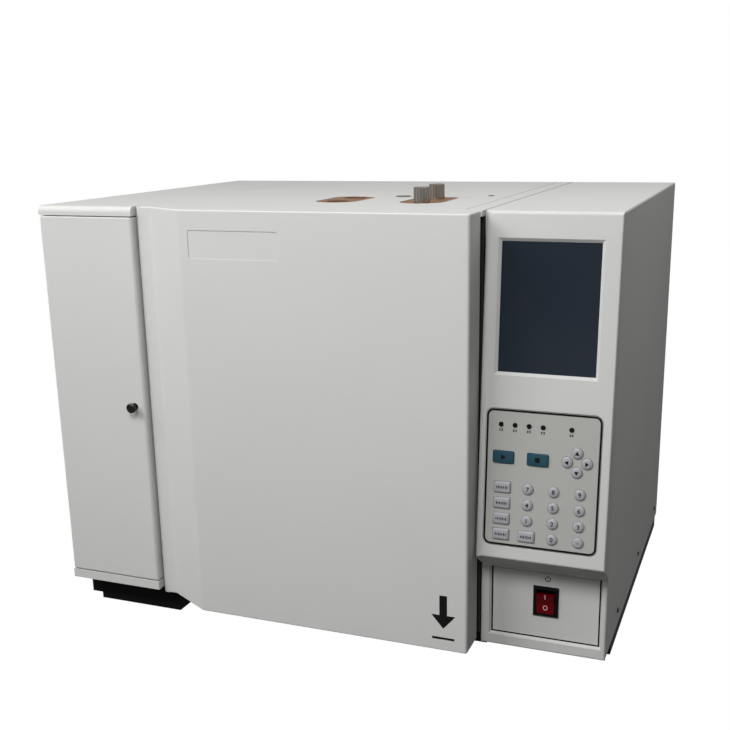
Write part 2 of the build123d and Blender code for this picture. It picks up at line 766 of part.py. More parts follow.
def door_latch():
    """Push-up slider in the door's lower edge, with the tongue that enters the oven front."""
    x = (latch_centre() - latch_width / 2, latch_centre() + latch_width / 2)
    y = (latch_front(), latch_front() + latch_depth)
    slider = block(x, y, (door_bottom, door_bottom + latch_height))
    grip = (x[0] + latch_rim, x[1] - latch_rim)
    slider -= block(grip, (y[0] - past, y[0] + latch_rim),
                    (door_bottom - past, door_bottom + latch_height / 2))
    tongue = block(grip, (y[1], case_front + latch_tongue - keeper_gap),
                   (latch_tongue_z() - latch_tongue_gauge / 2, latch_tongue_z() + latch_tongue_gauge / 2))
    return slider + tongue


def oven_door_liner():
    """Door back plate with the drafted pan that fills the chamber's mouth."""
    plate = block((liner_left, door_right - door_wall), (door_back - liner_plate_gauge, door_back),
                  (door_bottom + door_wall, body_top - door_wall))
    plane = Plane(origin=(chamber_x, door_back, chamber_z), x_dir=(1, 0, 0), z_dir=(0, 1, 0))
    outer = RectangleRounded(chamber_width - 2 * plug_gap, chamber_height - 2 * plug_gap, 8)
    tip = RectangleRounded(chamber_width - 2 * plug_gap - 2 * plug_draft,
                           chamber_height - 2 * plug_gap - 2 * plug_draft, 7)
    pan = loft([plane * outer, plane.offset(plug_depth) * tip])
    core = RectangleRounded(chamber_width - 2 * plug_gap - 2 * plug_draft - 3,
                            chamber_height - 2 * plug_gap - 2 * plug_draft - 3, 6)
    pan -= extrude(plane.offset(-liner_plate_gauge - past) * core, plug_depth + liner_plate_gauge)
    plate -= extrude(plane.offset(-liner_plate_gauge - past) * core, liner_plate_gauge + 2)
    tongue_z = latch_tongue_z()
    plate -= block((latch_centre() - latch_width / 2, latch_centre() + latch_width / 2),
                   (door_back - 3, door_back + past),
                   (tongue_z - latch_tongue_gauge / 2 - run_gap,
                    tongue_z + latch_tongue_gauge / 2 + latch_travel + run_gap))
    return plate + pan


def oven_fan():
    """Centrifugal impeller: back disc, curved blades and hub on the motor's shaft."""
    hub = rod_y(fan_hub_radius, chamber_x, (fan_front, fan_back), chamber_z)
    disc = rod_y(fan_radius, chamber_x, (fan_back - fan_disc, fan_back), chamber_z)
    shaft = rod_y(shaft_radius, chamber_x, (fan_back, case_back + motor_length), chamber_z)
    impeller = hub + disc + shaft
    plane = Plane(origin=(chamber_x, fan_back - fan_disc, chamber_z), x_dir=(1, 0, 0), z_dir=(0, -1, 0))
    bow = fan_radius * 0.16
    middle = (blade_root_radius + fan_radius - 1) / 2
    centre_line = ThreePointArc((blade_root_radius, 0), (middle, bow), (fan_radius - 1, 0))
    section = trace(centre_line, blade_gauge)
    for index in range(blade_count):
        impeller += extrude(plane * Rot(0, 0, 360 * index / blade_count) * section, blade_depth)
    return impeller


def fan_motor():
    """Fan motor on the back of the oven case."""
    flange = block((chamber_x - motor_radius, chamber_x + motor_radius),
                   (case_back, case_back + motor_flange),
                   (chamber_z - motor_radius, chamber_z + motor_radius))
    flange = fillet(flange.edges().filter_by(Axis.Y), motor_radius / 5)
    can = rod_y(motor_radius - 4, chamber_x, (case_back + motor_flange, case_back + motor_length), chamber_z)
    motor = flange + can
    bore = (case_back - past, case_back + motor_length + past)
    return motor - rod_y(shaft_radius + pin_gap, chamber_x, bore, chamber_z)


def fan_baffle():
    """Sheet in front of the fan, with a round intake grille and four stand-off posts."""
    x = (chamber_left + baffle_edge_gap, chamber_right - baffle_edge_gap)
    z = (chamber_floor + baffle_edge_gap, chamber_top - baffle_edge_gap)
    baffle = block(x, (baffle_front, baffle_back), z)
    count = int(intake_radius / intake_pitch)
    for index in range(-count, count + 1):
        middle = index * intake_pitch
        half = sqrt(intake_radius ** 2 - middle ** 2)
        baffle -= block((chamber_x + middle - intake_slot / 2, chamber_x + middle + intake_slot / 2),
                        (baffle_front - past, baffle_back + past), (chamber_z - half, chamber_z + half))
    for px in (x[0] + 2 * baffle_post_radius, x[1] - 2 * baffle_post_radius):
        for pz in (z[0] + 2 * baffle_post_radius, z[1] - 2 * baffle_post_radius):
            baffle += rod_y(baffle_post_radius, px, (baffle_back, chamber_back), pz)
    return baffle


def heater_coil():
    """Strip heater round the impeller: an open ring, its two ends turned back to the liner."""
    middle = (fan_front + fan_back) / 2
    half, edge = heater_width / 2, heater_width / 2 - heater_bevel
    section = [(heater_radius + a, middle + b) for a, b in
               ((-half, -edge), (-edge, -half), (edge, -half), (half, -edge),
                (half, edge), (edge, half), (-edge, half), (-half, edge))]
    ring = turned_y(section, chamber_x, chamber_z)
    opening = heater_gap_degrees * pi / 360
    foot = heater_radius * sin(opening)
    ring -= block((chamber_x - foot, chamber_x + foot), (middle - heater_width, middle + heater_width),
                  (chamber_z - 2 * heater_radius, chamber_z))
    drop = chamber_z - heater_radius * cos(opening)
    for side in (-1, 1):
        legs = sorted((chamber_x + side * foot, chamber_x + side * (foot + heater_width)))
        ring += block(legs, (middle - edge, chamber_back), (drop - half, drop + half))
    return ring


def column_coil():
    """Capillary column wound on a wire cage, hung from the chamber ceiling."""
    y = (coil_y - coil_length / 2, coil_y + coil_length / 2)
    inner = coil_radius - coil_thickness
    bundle = rod_y(coil_radius, chamber_x, (y[0] + cage_bar, y[1] - cage_bar), coil_z)
    bundle -= rod_y(inner, chamber_x, (y[0], y[1]), coil_z)
    cage = Part()
    for angle in range(0, 180, 60):
        for end in (y[0], y[1] - cage_bar):
            spoke = Box(2 * (coil_radius + cage_bar), cage_bar, cage_bar)
            cage += Pos(chamber_x, end + cage_bar / 2, coil_z) * Rot(0, angle + 30, 0) * spoke
    for index in range(6):
        angle = 2 * pi * (index + 0.5) / 6
        reach = inner - cage_bar / 2
        cage += rod_y(cage_bar / 2, chamber_x + reach * cos(angle), (y[0], y[1]), coil_z + reach * sin(angle))
    cage += rod_y(cage_bar, chamber_x, y, coil_z)
    hanger = block((chamber_x - cage_bar, chamber_x + cage_bar), (y[1], y[1] + liner_gauge * 1.5),
                   (coil_z - 2 * cage_bar, chamber_top))
    foot = block((chamber_x - 5 * cage_bar, chamber_x + 5 * cage_bar),
                 (y[1] - 3 * cage_bar, y[1] + liner_gauge * 1.5),
                 (chamber_top - liner_gauge * 1.5, chamber_top))
    return Compound(children=[bundle, cage + hanger + foot])


# ---------------------------------------------------------------- top
def stadium(x, z, gap=0.0):
    """Round-ended port opening, less a gap all round, extruded between the two z values."""
    outline = Rot(0, 0, 90) * SlotOverall(port_length - 2 * gap, port_width - 2 * gap)
    return extrude(Pos(x, port_y, z[0]) * outline, z[1] - z[0])


def top_cover():
    """Folded cover over the oven case, with the two ports and a lifting slot between them."""
    x, y = (case_left, case_right), (door_back + side_gap, rear_inner)
    z = (case_top, body_top)
    cover = block(x, y, z)
    cover -= block((x[0] + sheet, x[1] - sheet), (y[0] + sheet, y[1] - sheet), (z[0] - past, shell_top))
    cover -= block((x[0] - past, hinge_x + barrel_radius + door_gap),
                   (y[0] - past, hinge_y + barrel_radius + door_gap), (z[0] - past, body_top + past))
    for px in (detector_x, injector_x):
        cover -= stadium(px, (shell_top - past, body_top + past))
    middle = (detector_x + injector_x) / 2
    cover -= block((middle - lift_slot_length / 2, middle + lift_slot_length / 2),
                   (port_y + lift_slot_setback, port_y + lift_slot_setback + lift_slot_width),
                   (shell_top - past, body_top + past))
    return cover


def port_plates():
    """Plates on the case under the two ports: a raised middle that fills the port, and two bores."""
    plates = []
    for x in (detector_x, injector_x):
        plate = block((x - port_width / 2 - port_plate_rim, x + port_width / 2 + port_plate_rim),
                      (port_y - port_length / 2 - port_plate_rim, port_y + port_length / 2 + port_plate_rim),
                      (case_top, case_top + port_plate_gauge))
        plate += stadium(x, (case_top + port_plate_gauge, plate_top), port_plate_gap)
        for y in port_bores:
            plate -= rod_z(injector_neck_radius + 2, x, y, (case_top - past, plate_top + past))
        plates.append(plate)
    return Compound(children=plates)


def injectors():
    """Two injection ports: body through the roof, flange under the plate, threaded neck."""
    bodies = []
    for y in port_bores:
        bore = needle_radius * 2
        stem = injector_radius * 0.6
        shoulder = injector_neck_radius + 1.5
        neck_top = nut_low + nut_bore_depth - run_gap
        profile = [(bore, chamber_top - injector_stub), (stem, chamber_top - injector_stub),
                   (stem, chamber_top - 4), (injector_radius, chamber_top - 2),
                   (injector_radius, case_top - injector_flange),
                   (injector_flange_radius, case_top - injector_flange), (injector_flange_radius, case_top),
                   (shoulder, case_top), (shoulder, nut_low), (injector_neck_radius, nut_low),
                   (injector_neck_radius, neck_top), (bore, neck_top)]
        bodies.append(turned_z(profile, injector_x, y))
    return Compound(children=bodies)


def septum_nuts():
    """Round nuts that hold the septa, each with a needle guide in its top."""
    nuts = []
    low, high = nut_low, nut_low + nut_height
    for y in port_bores:
        profile = [(injector_neck_radius + pin_gap, low), (nut_radius - 0.8, low), (nut_radius, low + 0.8),
                   (nut_radius, high - 1), (nut_radius - 1, high), (needle_radius + 2, high),
                   (needle_radius, high - 3), (needle_radius, low + nut_bore_depth),
                   (injector_neck_radius + pin_gap, low + nut_bore_depth)]
        nuts.append(turned_z(profile, injector_x, y))
    return Compound(children=nuts)


# ---------------------------------------------------------------- control module
def control_cover():
    """Folded cover of the control module: left wall, top and the long right wall."""
    y = (fascia_back, rear_inner)
    bottom = base_top - cover_drop
    cover = block((control_left, right), y, (bottom, body_top))
    cover = fillet(edges_at(cover, Axis.Y, x=right, z=body_top), cover_edge_radius)
    ends = (y[0] - past, y[1] + past)
    cover -= block((control_left + sheet, right - sheet), ends, (bottom - past, shell_top))
    return cover - block((control_left - past, right - sheet), ends, (bottom - past, base_top))


def bezel_plane():
    """Plane of the bezel's front: origin at its lower left, x to the right, y up the slope."""
    return Plane(origin=(control_left, bezel_foot_y, bezel_foot_z), x_dir=(1, 0, 0),
                 z_dir=(0, -cos(lean_radians()), sin(lean_radians())))


def lean_radians():
    """How far the bezel leans back."""
    return bezel_lean * pi / 180


def bezel_shape(inset):
    """Outer form of the bezel, or the hollow inside it when inset by a wall."""
    depth = 0 if inset == 0 else 3 * fascia_wall
    side = make_face(Polyline((fascia_back + depth, body_top), (bezel_top_y, body_top),
                              (bezel_foot_y, bezel_foot_z), (panel_y, shelf_z),
                              (fascia_back + depth, shelf_z), close=True))
    if inset:
        side = offset(side, amount=-inset, kind=Kind.INTERSECTION)
    prism = extrude(Plane.YZ.offset(control_left) * side, amount=control_width, dir=(1, 0, 0))
    if not inset:
        prism = fillet(edges_at(prism, Axis.X, z=body_top, y=bezel_top_y), bezel_top_radius)
        prism = fillet(edges_at(prism, Axis.X, z=bezel_foot_z, y=bezel_foot_y), bezel_foot_radius)
    lean = lean_radians()
    base = Plane(origin=(control_left, bezel_foot_y, bezel_foot_z), x_dir=(1, 0, 0),
                 z_dir=(0, sin(lean), cos(lean))).offset(-control_width)
    plan = Pos(control_width / 2, control_width / 2 + inset) * Rectangle(
        control_width - 2 * inset, control_width)
    corners = plan.vertices().group_by(Axis.Y)[0].sort_by(Axis.X)
    plan = fillet(corners[0], bezel_edge_radius - inset)
    corners = plan.vertices().group_by(Axis.Y)[0].sort_by(Axis.X)
    plan = fillet(corners[-1], max(bezel_corner_radius - inset, 0.5))
    return prism & extrude(base * plan, amount=body_height + control_width)


def bezel_slab(u, v, w):
    """Rounded or plain box in the bezel's own axes: across, up the slope, out of the face."""
    plane = bezel_plane()
    return plane * block(u, v, w)


def bezel_rounded(u, v, w, radius):
    """Box in the bezel's axes with rounded corners seen from the front."""
    outline = RectangleRounded(u[1] - u[0], v[1] - v[0], radius)
    at = Pos((u[0] + u[1]) / 2, (v[0] + v[1]) / 2, w[0])
    return bezel_plane() * (at * extrude(outline, w[1] - w[0]))


def screen_span(grow):
    """Screen opening in the bezel's axes."""
    return ((screen_left - grow, screen_left + screen_width + grow),
            (screen_rise - grow, screen_rise + screen_height + grow))


def keypad_span(grow):
    """Keypad outline in the bezel's axes."""
    return ((keypad_left - grow, keypad_left + keypad_width + grow),
            (keypad_rise - grow, keypad_rise + keypad_height + grow))


def control_bezel():
    """Leaning front moulding: rounded left edge, screen well, keypad seat and window."""
    bezel = bezel_shape(0) - bezel_shape(fascia_wall)
    well = loft([bezel_plane().offset(0.01) * Pos(*screen_middle()) * Rectangle(
        screen_width + 2 * screen_bevel, screen_height + 2 * screen_bevel),
                 bezel_plane().offset(-screen_recess) * Pos(*screen_middle()) * Rectangle(
                     screen_width, screen_height)])
    bezel -= well
    u, v = screen_span(0)
    bezel -= bezel_slab(u, v, (-fascia_wall - past, 0))
    u, v = keypad_span(keypad_line)
    bezel -= bezel_rounded(u, v, (-keypad_gauge, past), keypad_corner + keypad_line)
    u, v = keypad_span(-keypad_rim)
    bezel -= bezel_rounded(u, v, (-fascia_wall - past, past), keypad_corner - keypad_rim)
    return bezel


def screen_middle():
    """Centre of the screen in the bezel's axes."""
    return screen_left + screen_width / 2, screen_rise + screen_height / 2


def display_window():
    """Display behind the screen opening, with a step that fills the opening."""
    u, v = screen_span(-run_gap)
    step = bezel_slab(u, v, (-fascia_wall, -screen_recess - 0.2))
    u, v = screen_span(3.0)
    return step + bezel_slab(u, v, (-fascia_wall - glass_gauge, -fascia_wall))


def key_specs():
    """Every key as (name, across, up, size): size is a radius or (width, height)."""
    specs = []
    digits = {"7": (1, 0), "4": (1, 1), "1": (1, 2), "8": (2, 0), "5": (2, 1), "2": (2, 2), "0": (2, 3),
              "9": (3, 0), "6": (3, 1), "3": (3, 2), "point": (3, 3)}
    for name, (column, row) in digits.items():
        specs.append(("key_" + name, key_columns[column], key_rows[row], round_key_radius))
    for row in range(4):
        specs.append((f"key_menu_{row + 1}", key_columns[0], key_rows[row], wide_key))
    specs.append(("key_menu_5", key_columns[1], key_rows[3], wide_key))
    for name, across in zip(("key_run", "key_stop"), run_columns):
        specs.append((name, across, run_row, run_key))
    for name, dx, dy in (("up", 0, 1), ("left", -1, 0), ("right", 1, 0), ("down", 0, -1)):
        specs.append(("key_" + name, arrow_centre[0] + dx * arrow_reach, arrow_centre[1] + dy * arrow_reach,
                      round_key_radius))
    return specs


def key_solid(across, up, size, w, grow, edge):
    """Round or rounded-rectangle prism of a key in the bezel's axes, grown all round."""
    u, v = keypad_left + across, keypad_rise + up
    if isinstance(size, tuple):
        outline = RectangleRounded(size[0] + 2 * grow, size[1] + 2 * grow, 1.6)
    else:
        outline = Circle(size + grow)
    solid = extrude(outline, w[1] - w[0])
    if edge:
        solid = chamfer(solid.edges().group_by(Axis.Z)[-1], edge)
    return bezel_plane() * (Pos(u, v, w[0]) * solid)


def keypad_plate():
    """Keypad front with its key holes and lamp holes, and the bed behind it."""
    u, v = keypad_span(0)
    plate = bezel_rounded(u, v, (-keypad_gauge, 0), keypad_corner)
    u, v = keypad_span(-keypad_rim - run_gap)
    plate += bezel_rounded(u, v, (-keypad_gauge - key_bed_gauge, -keypad_gauge),
                           keypad_corner - keypad_rim - run_gap)
    depth = (key_floor, 1)
    for _, across, up, size in key_specs():
        plate -= key_solid(across, up, size, depth, key_gap, 0)
    return plate


def status_leds():
    """Five lamps that stand a little out of the keypad."""
    lamps = []
    for across in led_columns:
        lamp = extrude(Circle(led_radius), led_height)
        lamps.append(bezel_plane() * (Pos(keypad_left + across, keypad_rise + led_row) * lamp))
    return Compound(children=lamps)


def key(across, up, size):
    """One key cap, standing out of the keypad by its height and free to sink by its travel."""
    edge = run_key_edge if size == run_key else key_edge
    return key_solid(across, up, size, (key_floor + key_travel + key_gap, key_height), 0, edge)


def switch_panel():
    """Lower front moulding: bevelled surround, sunk panel with a groove round it, switch cut-out."""
    z = (base_top - fascia_drop, shelf_z)
    moulding = block((control_left, right), (panel_y, switch_face), z)
    outer = edges_at(moulding, Axis.Z, y=panel_y) + edges_at(moulding, Axis.X, y=panel_y, z=z[0])
    moulding = fillet(outer, frame_edge_radius)
    moulding += block((control_left + sheet, right - sheet), (switch_face, switch_face + panel_gauge),
                      (base_top, z[1]))
    width = control_width - frame_left - frame_right
    height = z[1] - z[0] - frame_foot - frame_head
    plane = Plane(origin=(control_left + frame_left + width / 2, panel_y, z[0] + frame_foot + height / 2),
                  x_dir=(1, 0, 0), z_dir=(0, 1, 0))
    wide = Rectangle(width + 2 * frame_bevel, height + 2 * frame_bevel)
    moulding -= loft([plane * wide, plane.offset(frame_recess) * Rectangle(width, height)])
    field = Rectangle(width, height) - Rectangle(width - 2 * panel_groove, height - 2 * panel_groove)
    moulding -= extrude(plane.offset(frame_recess) * field, groove_depth)
    rim = switch_flange_rim
    return moulding - block((switch_x - switch_width / 2 + rim, switch_x + switch_width / 2 - rim),
                            (panel_y, switch_face + panel_gauge + past),
                            (switch_z - switch_height / 2 + rim, switch_z + switch_height / 2 - rim))


def switch_bezel():
    """Snap-in switch housing: flange on the panel and an open box behind it."""
    flange = block((switch_x - switch_width / 2, switch_x + switch_width / 2),
                   (switch_face - switch_flange, switch_face),
                   (switch_z - switch_height / 2, switch_z + switch_height / 2))
    flange = chamfer(flange.edges().group_by(Axis.Y)[0], 0.8)
    inset = switch_flange_rim + run_gap
    body = block((switch_x - switch_width / 2 + inset, switch_x + switch_width / 2 - inset),
                 (switch_face, switch_face + switch_body_depth),
                 (switch_z - switch_height / 2 + inset, switch_z + switch_height / 2 - inset))
    rim = inset + switch_body_wall
    well = block((switch_x - switch_width / 2 + rim, switch_x + switch_width / 2 - rim),
                 (switch_face - switch_flange - past, switch_face + switch_body_depth - 2),
                 (switch_z - switch_height / 2 + rim, switch_z + switch_height / 2 - rim))
    housing = flange + body - well
    for end in (well_x()[0], well_x()[1]):
        side = (end - 0.1, end + pivot_boss) if end < switch_x else (end - pivot_boss, end + 0.1)
        housing += rod_x(rocker_pin_radius, side, rocker_y, switch_z)
    return housing


def well_x():
    """Inside of the switch housing, across."""
    rim = switch_flange_rim + run_gap + switch_body_wall
    return switch_x - switch_width / 2 + rim, switch_x + switch_width / 2 - rim


def power_rocker():
    """Rocker cap with two faces that meet at a shallow angle, resting with its lower half pressed."""
    x = (well_x()[0] + rocker_gap, well_x()[1] - rocker_gap)
    tilt = rocker_tilt * pi / 180
    front = rocker_pivot_depth + switch_flange + rocker_proud
    well_half = switch_height / 2 - switch_flange_rim - run_gap - switch_body_wall
    half = (well_half - rocker_gap - (front + rocker_rise) * sin(tilt)) / cos(tilt)
    points = [(-front, 0), (-front - rocker_rise, half), (-switch_flange, half * 0.7), (rocker_heel, 0),
              (-switch_flange, -half * 0.7), (-front - rocker_rise, -half)]
    cap = prism_x([(rocker_y + y, switch_z + z) for y, z in points], x)
    for end in x:
        side = (end - 0.1, end + pivot_boss) if end < switch_x else (end - pivot_boss, end + 0.1)
        cap -= rod_x(rocker_pin_radius + pin_gap, side, rocker_y, switch_z)
    return Pos(0, rocker_y, switch_z) * Rot(rocker_tilt, 0, 0) * Pos(0, -rocker_y, -switch_z) * cap


# ---------------------------------------------------------------- the whole instrument
def build():
    nodes = {
        "base_frame": base_frame(),
        "rubber_feet": rubber_feet(),
        "rear_panel": rear_panel(),
        "gas_fittings": gas_fittings(),
        "power_inlet": power_inlet(),
        "vent_flap": vent_flap(),
        "gas_cabinet": gas_cabinet(),
        "gas_door": gas_door(),
        "gas_door_knob": gas_door_knob(),
        "gas_panel": gas_panel(),
        "pressure_gauges": pressure_gauges(),
        "carrier_valve_a": carrier_valve(valve_z[0]),
        "carrier_valve_b": carrier_valve(valve_z[1]),
        "oven_case": oven_case(),
        "oven_insulation": oven_insulation(),
        "oven_liner": oven_liner(),
        "door_gasket": door_gasket(),
        "oven_hinges": oven_hinges(),
        "oven_door": oven_door(),
        "oven_door_liner": oven_door_liner(),
        "door_latch": door_latch(),
        "oven_fan": oven_fan(),
        "fan_motor": fan_motor(),
        "fan_baffle": fan_baffle(),
        "heater_coil": heater_coil(),
        "column_coil": column_coil(),
        "top_cover": top_cover(),
        "port_plates": port_plates(),
        "injectors": injectors(),
        "septum_nuts": septum_nuts(),
        "control_cover": control_cover(),
        "control_bezel": control_bezel(),
        "display_window": display_window(),
        "keypad_plate": keypad_plate(),
        "status_leds": status_leds(),
        "switch_panel": switch_panel(),
        "switch_bezel": switch_bezel(),
        "power_rocker": power_rocker(),
    }
    for name, across, up, size in key_specs():
        nodes[name] = key(across, up, size)
    return nodes


os.makedirs("parts", exist_ok=True)
for node_name, solid in build().items():
    export_step(solid, f"parts/{node_name}.step")
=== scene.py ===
import json
from math import cos, pi, radians, sin, tau

import bmesh
import bpy
from mathutils import Matrix, Vector
from mathutils.bvhtree import BVHTree
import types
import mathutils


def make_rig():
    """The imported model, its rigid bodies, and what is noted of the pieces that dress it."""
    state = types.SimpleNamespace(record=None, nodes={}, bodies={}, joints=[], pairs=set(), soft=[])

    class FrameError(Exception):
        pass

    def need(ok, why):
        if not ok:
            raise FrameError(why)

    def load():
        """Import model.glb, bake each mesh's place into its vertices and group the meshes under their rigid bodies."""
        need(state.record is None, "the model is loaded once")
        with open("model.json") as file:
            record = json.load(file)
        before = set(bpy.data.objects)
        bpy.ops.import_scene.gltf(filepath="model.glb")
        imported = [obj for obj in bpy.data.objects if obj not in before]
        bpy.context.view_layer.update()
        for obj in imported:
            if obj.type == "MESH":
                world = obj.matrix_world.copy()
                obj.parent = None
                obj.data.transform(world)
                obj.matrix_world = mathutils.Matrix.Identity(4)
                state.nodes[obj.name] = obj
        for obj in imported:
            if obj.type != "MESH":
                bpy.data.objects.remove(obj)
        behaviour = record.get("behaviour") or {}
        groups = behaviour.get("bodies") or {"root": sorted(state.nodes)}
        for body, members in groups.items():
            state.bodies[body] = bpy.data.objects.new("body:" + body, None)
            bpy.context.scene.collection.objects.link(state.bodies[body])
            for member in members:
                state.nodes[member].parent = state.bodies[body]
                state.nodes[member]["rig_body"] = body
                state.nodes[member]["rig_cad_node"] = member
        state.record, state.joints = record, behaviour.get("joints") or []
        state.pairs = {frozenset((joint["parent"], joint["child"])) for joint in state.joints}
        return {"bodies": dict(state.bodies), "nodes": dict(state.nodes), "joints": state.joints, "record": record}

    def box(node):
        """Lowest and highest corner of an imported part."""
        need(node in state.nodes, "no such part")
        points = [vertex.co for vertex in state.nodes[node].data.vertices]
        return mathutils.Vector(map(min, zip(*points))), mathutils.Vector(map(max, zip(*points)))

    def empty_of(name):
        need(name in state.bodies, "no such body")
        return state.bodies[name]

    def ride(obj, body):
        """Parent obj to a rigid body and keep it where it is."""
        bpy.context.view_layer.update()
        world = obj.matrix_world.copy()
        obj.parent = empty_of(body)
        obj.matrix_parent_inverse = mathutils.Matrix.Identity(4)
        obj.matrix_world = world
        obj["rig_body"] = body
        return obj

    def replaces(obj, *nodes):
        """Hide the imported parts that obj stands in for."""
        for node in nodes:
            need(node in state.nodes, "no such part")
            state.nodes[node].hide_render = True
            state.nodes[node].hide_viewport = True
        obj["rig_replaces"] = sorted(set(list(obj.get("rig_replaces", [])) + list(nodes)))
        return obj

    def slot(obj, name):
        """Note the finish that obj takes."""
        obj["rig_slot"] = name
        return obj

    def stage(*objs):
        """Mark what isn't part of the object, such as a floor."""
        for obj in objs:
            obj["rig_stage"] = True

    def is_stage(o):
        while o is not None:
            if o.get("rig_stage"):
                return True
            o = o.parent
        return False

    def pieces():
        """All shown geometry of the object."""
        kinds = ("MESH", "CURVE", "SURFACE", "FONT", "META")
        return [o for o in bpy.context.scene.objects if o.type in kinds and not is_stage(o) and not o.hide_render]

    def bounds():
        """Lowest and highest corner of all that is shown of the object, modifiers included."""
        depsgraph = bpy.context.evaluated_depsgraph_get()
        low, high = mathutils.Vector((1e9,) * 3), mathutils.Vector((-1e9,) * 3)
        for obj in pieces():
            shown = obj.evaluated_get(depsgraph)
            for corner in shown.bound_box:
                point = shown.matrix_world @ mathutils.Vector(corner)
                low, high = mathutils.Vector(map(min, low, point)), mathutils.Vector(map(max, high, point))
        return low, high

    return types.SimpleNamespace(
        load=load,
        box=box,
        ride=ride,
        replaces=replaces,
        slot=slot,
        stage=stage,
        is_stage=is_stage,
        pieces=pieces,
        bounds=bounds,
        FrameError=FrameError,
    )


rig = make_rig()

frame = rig.load()
with open("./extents.json", "w") as sizes:
    json.dump({"cad": [list(corner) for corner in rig.bounds()]}, sizes)

MM = 0.001
NODES = frame["nodes"]
INWARD, FORWARD = (0, 1, 0), (0, -1, 0)         # looking in from the front, and out from the back
LYING = ((1, 0, 0), (0, 1, 0))                  # across and up, on a face that looks upwards


# ---------------------------------------------------------------- shader expressions
class Wire:
    """A shader socket that can be used in sums."""

    def __init__(self, shade, socket):
        self.shade, self.socket = shade, socket

    def maths(self, operation, *others):
        return self.shade.add("ShaderNodeMath", {"operation": operation}, self, *others)

    def __add__(self, other):
        return self.maths("ADD", other)

    def __radd__(self, other):
        return self.maths("ADD", other)

    def __sub__(self, other):
        return self.maths("SUBTRACT", other)

    def __rsub__(self, other):
        return self.shade.add("ShaderNodeMath", {"operation": "SUBTRACT"}, other, self)

    def __mul__(self, other):
        return self.maths("MULTIPLY", other)

    def __rmul__(self, other):
        return self.maths("MULTIPLY", other)


class Shade:
    """Shader nodes of one owner, a material or the sky, added one by one."""

    def __init__(self, owner):
        owner.use_nodes = True
        self.tree = owner.node_tree

    def join(self, value, socket):
        if isinstance(value, Wire):
            self.tree.links.new(value.socket, socket)
        elif isinstance(value, (tuple, list)) and len(value) == 3 and socket.type == "RGBA":
            socket.default_value = (*value, 1.0)
        else:
            socket.default_value = value

    def add(self, kind, settings=None, *inputs, out=0, **named):
        """Adds a node, makes its settings, then fills its sockets by order or by name."""
        node = self.tree.nodes.new(kind)
        for key, value in (settings or {}).items():
            setattr(node, key, value)
        for place, value in enumerate(inputs):
            self.join(value, node.inputs[place])
        for key, value in named.items():
            self.join(value, node.inputs[key.replace("_", " ")])
        return Wire(self, node.outputs[out])


class Finish(Shade):
    """One material with a Principled shader."""

    def __init__(self, name, **shader):
        self.material = bpy.data.materials.new(name)
        super().__init__(self.material)
        self.shader = self.tree.nodes["Principled BSDF"]
        self.set(**shader)

    def set(self, **shader):
        for name, value in shader.items():
            self.join(value, self.shader.inputs[name.replace("_", " ")])
        return self

    def place(self):
        """Position on the piece, in metres."""
        return self.add("ShaderNodeTexCoord", out="Object")

    def stretched(self, scale):
        return self.add("ShaderNodeMapping", {}, Vector=self.place(), Scale=scale)

    def noise(self, scale, detail=3.0, rough=0.5, at=None):
        return self.add("ShaderNodeTexNoise", {}, Vector=at or self.place(), Scale=scale, Detail=detail,
                        Roughness=rough)

    def mix(self, mask, first, second):
        """Colour between two, by a mask."""
        mixed = self.add("ShaderNodeMix", {"data_type": "RGBA"}, mask, out=2)
        for place, colour in ((6, first), (7, second)):
            self.join(colour, mixed.socket.node.inputs[place])
        return mixed

    def bump(self, height, depth, strength=1.0):
        """Relief of the given depth in metres."""
        self.set(Normal=self.add("ShaderNodeBump", {}, Strength=strength, Distance=depth, Height=height))
        return self


def fine_grain(finish, pitch, depth, strength=0.5):
    """Even surface relief: pitch between the bumps and their depth, in metres."""
    return finish.bump(finish.noise(1 / pitch, detail=2.0), depth, strength)


def mottled(finish, colour, amount, scale=9.0):
    """Colour that drifts slightly over the surface."""
    darker = tuple(c * (1 - amount) for c in colour)
    return finish.mix(finish.noise(scale, detail=4.0), darker, colour)


def powder_coat(name, colour, rough=0.42):
    """Baked powder paint with a fine orange-peel skin."""
    paint = Finish(name, IOR=1.5, Specular_IOR_Level=0.07)
    cloud = paint.noise(14.0, detail=3.0)
    paint.set(Base_Color=mottled(paint, colour, 0.05), Roughness=cloud * 0.10 + (rough - 0.05))
    return fine_grain(paint, 0.0016, 0.00006, 0.35).material


def moulded(name, colour, rough=0.45, pitch=0.0009):
    """Spark-textured moulded plastic."""
    plastic = Finish(name, IOR=1.46, Specular_IOR_Level=0.08)
    plastic.set(Base_Color=mottled(plastic, colour, 0.06, 20.0),
                Roughness=plastic.noise(30.0) * 0.12 + (rough - 0.06))
    return fine_grain(plastic, pitch, 0.00005, 0.4).material


def glossy(name, colour, rough=0.22, shine=0.25):
    """Smooth moulded plastic with a clear shine."""
    plastic = Finish(name, IOR=1.5, Specular_IOR_Level=shine * 1.4, Coat_Weight=shine, Coat_Roughness=0.12)
    plastic.set(Base_Color=mottled(plastic, colour, 0.10, 60.0),
                Roughness=plastic.noise(90.0) * 0.08 + rough)
    return fine_grain(plastic, 0.004, 0.00002, 0.2).material


def rolled_steel(name, colour, rough=0.3, along=(4.0, 4.0, 900.0)):
    """Bare sheet or turned metal with fine lines across one direction."""
    steel = Finish(name, Metallic=1.0)
    lines = steel.noise(1.0, detail=4.0, at=steel.stretched(along))
    cloud = steel.noise(12.0)
    steel.set(Base_Color=mottled(steel, colour, 0.12, 25.0), Roughness=lines * 0.16 + cloud * 0.08 + rough)
    return steel.bump(lines, 0.00002, 0.25).material


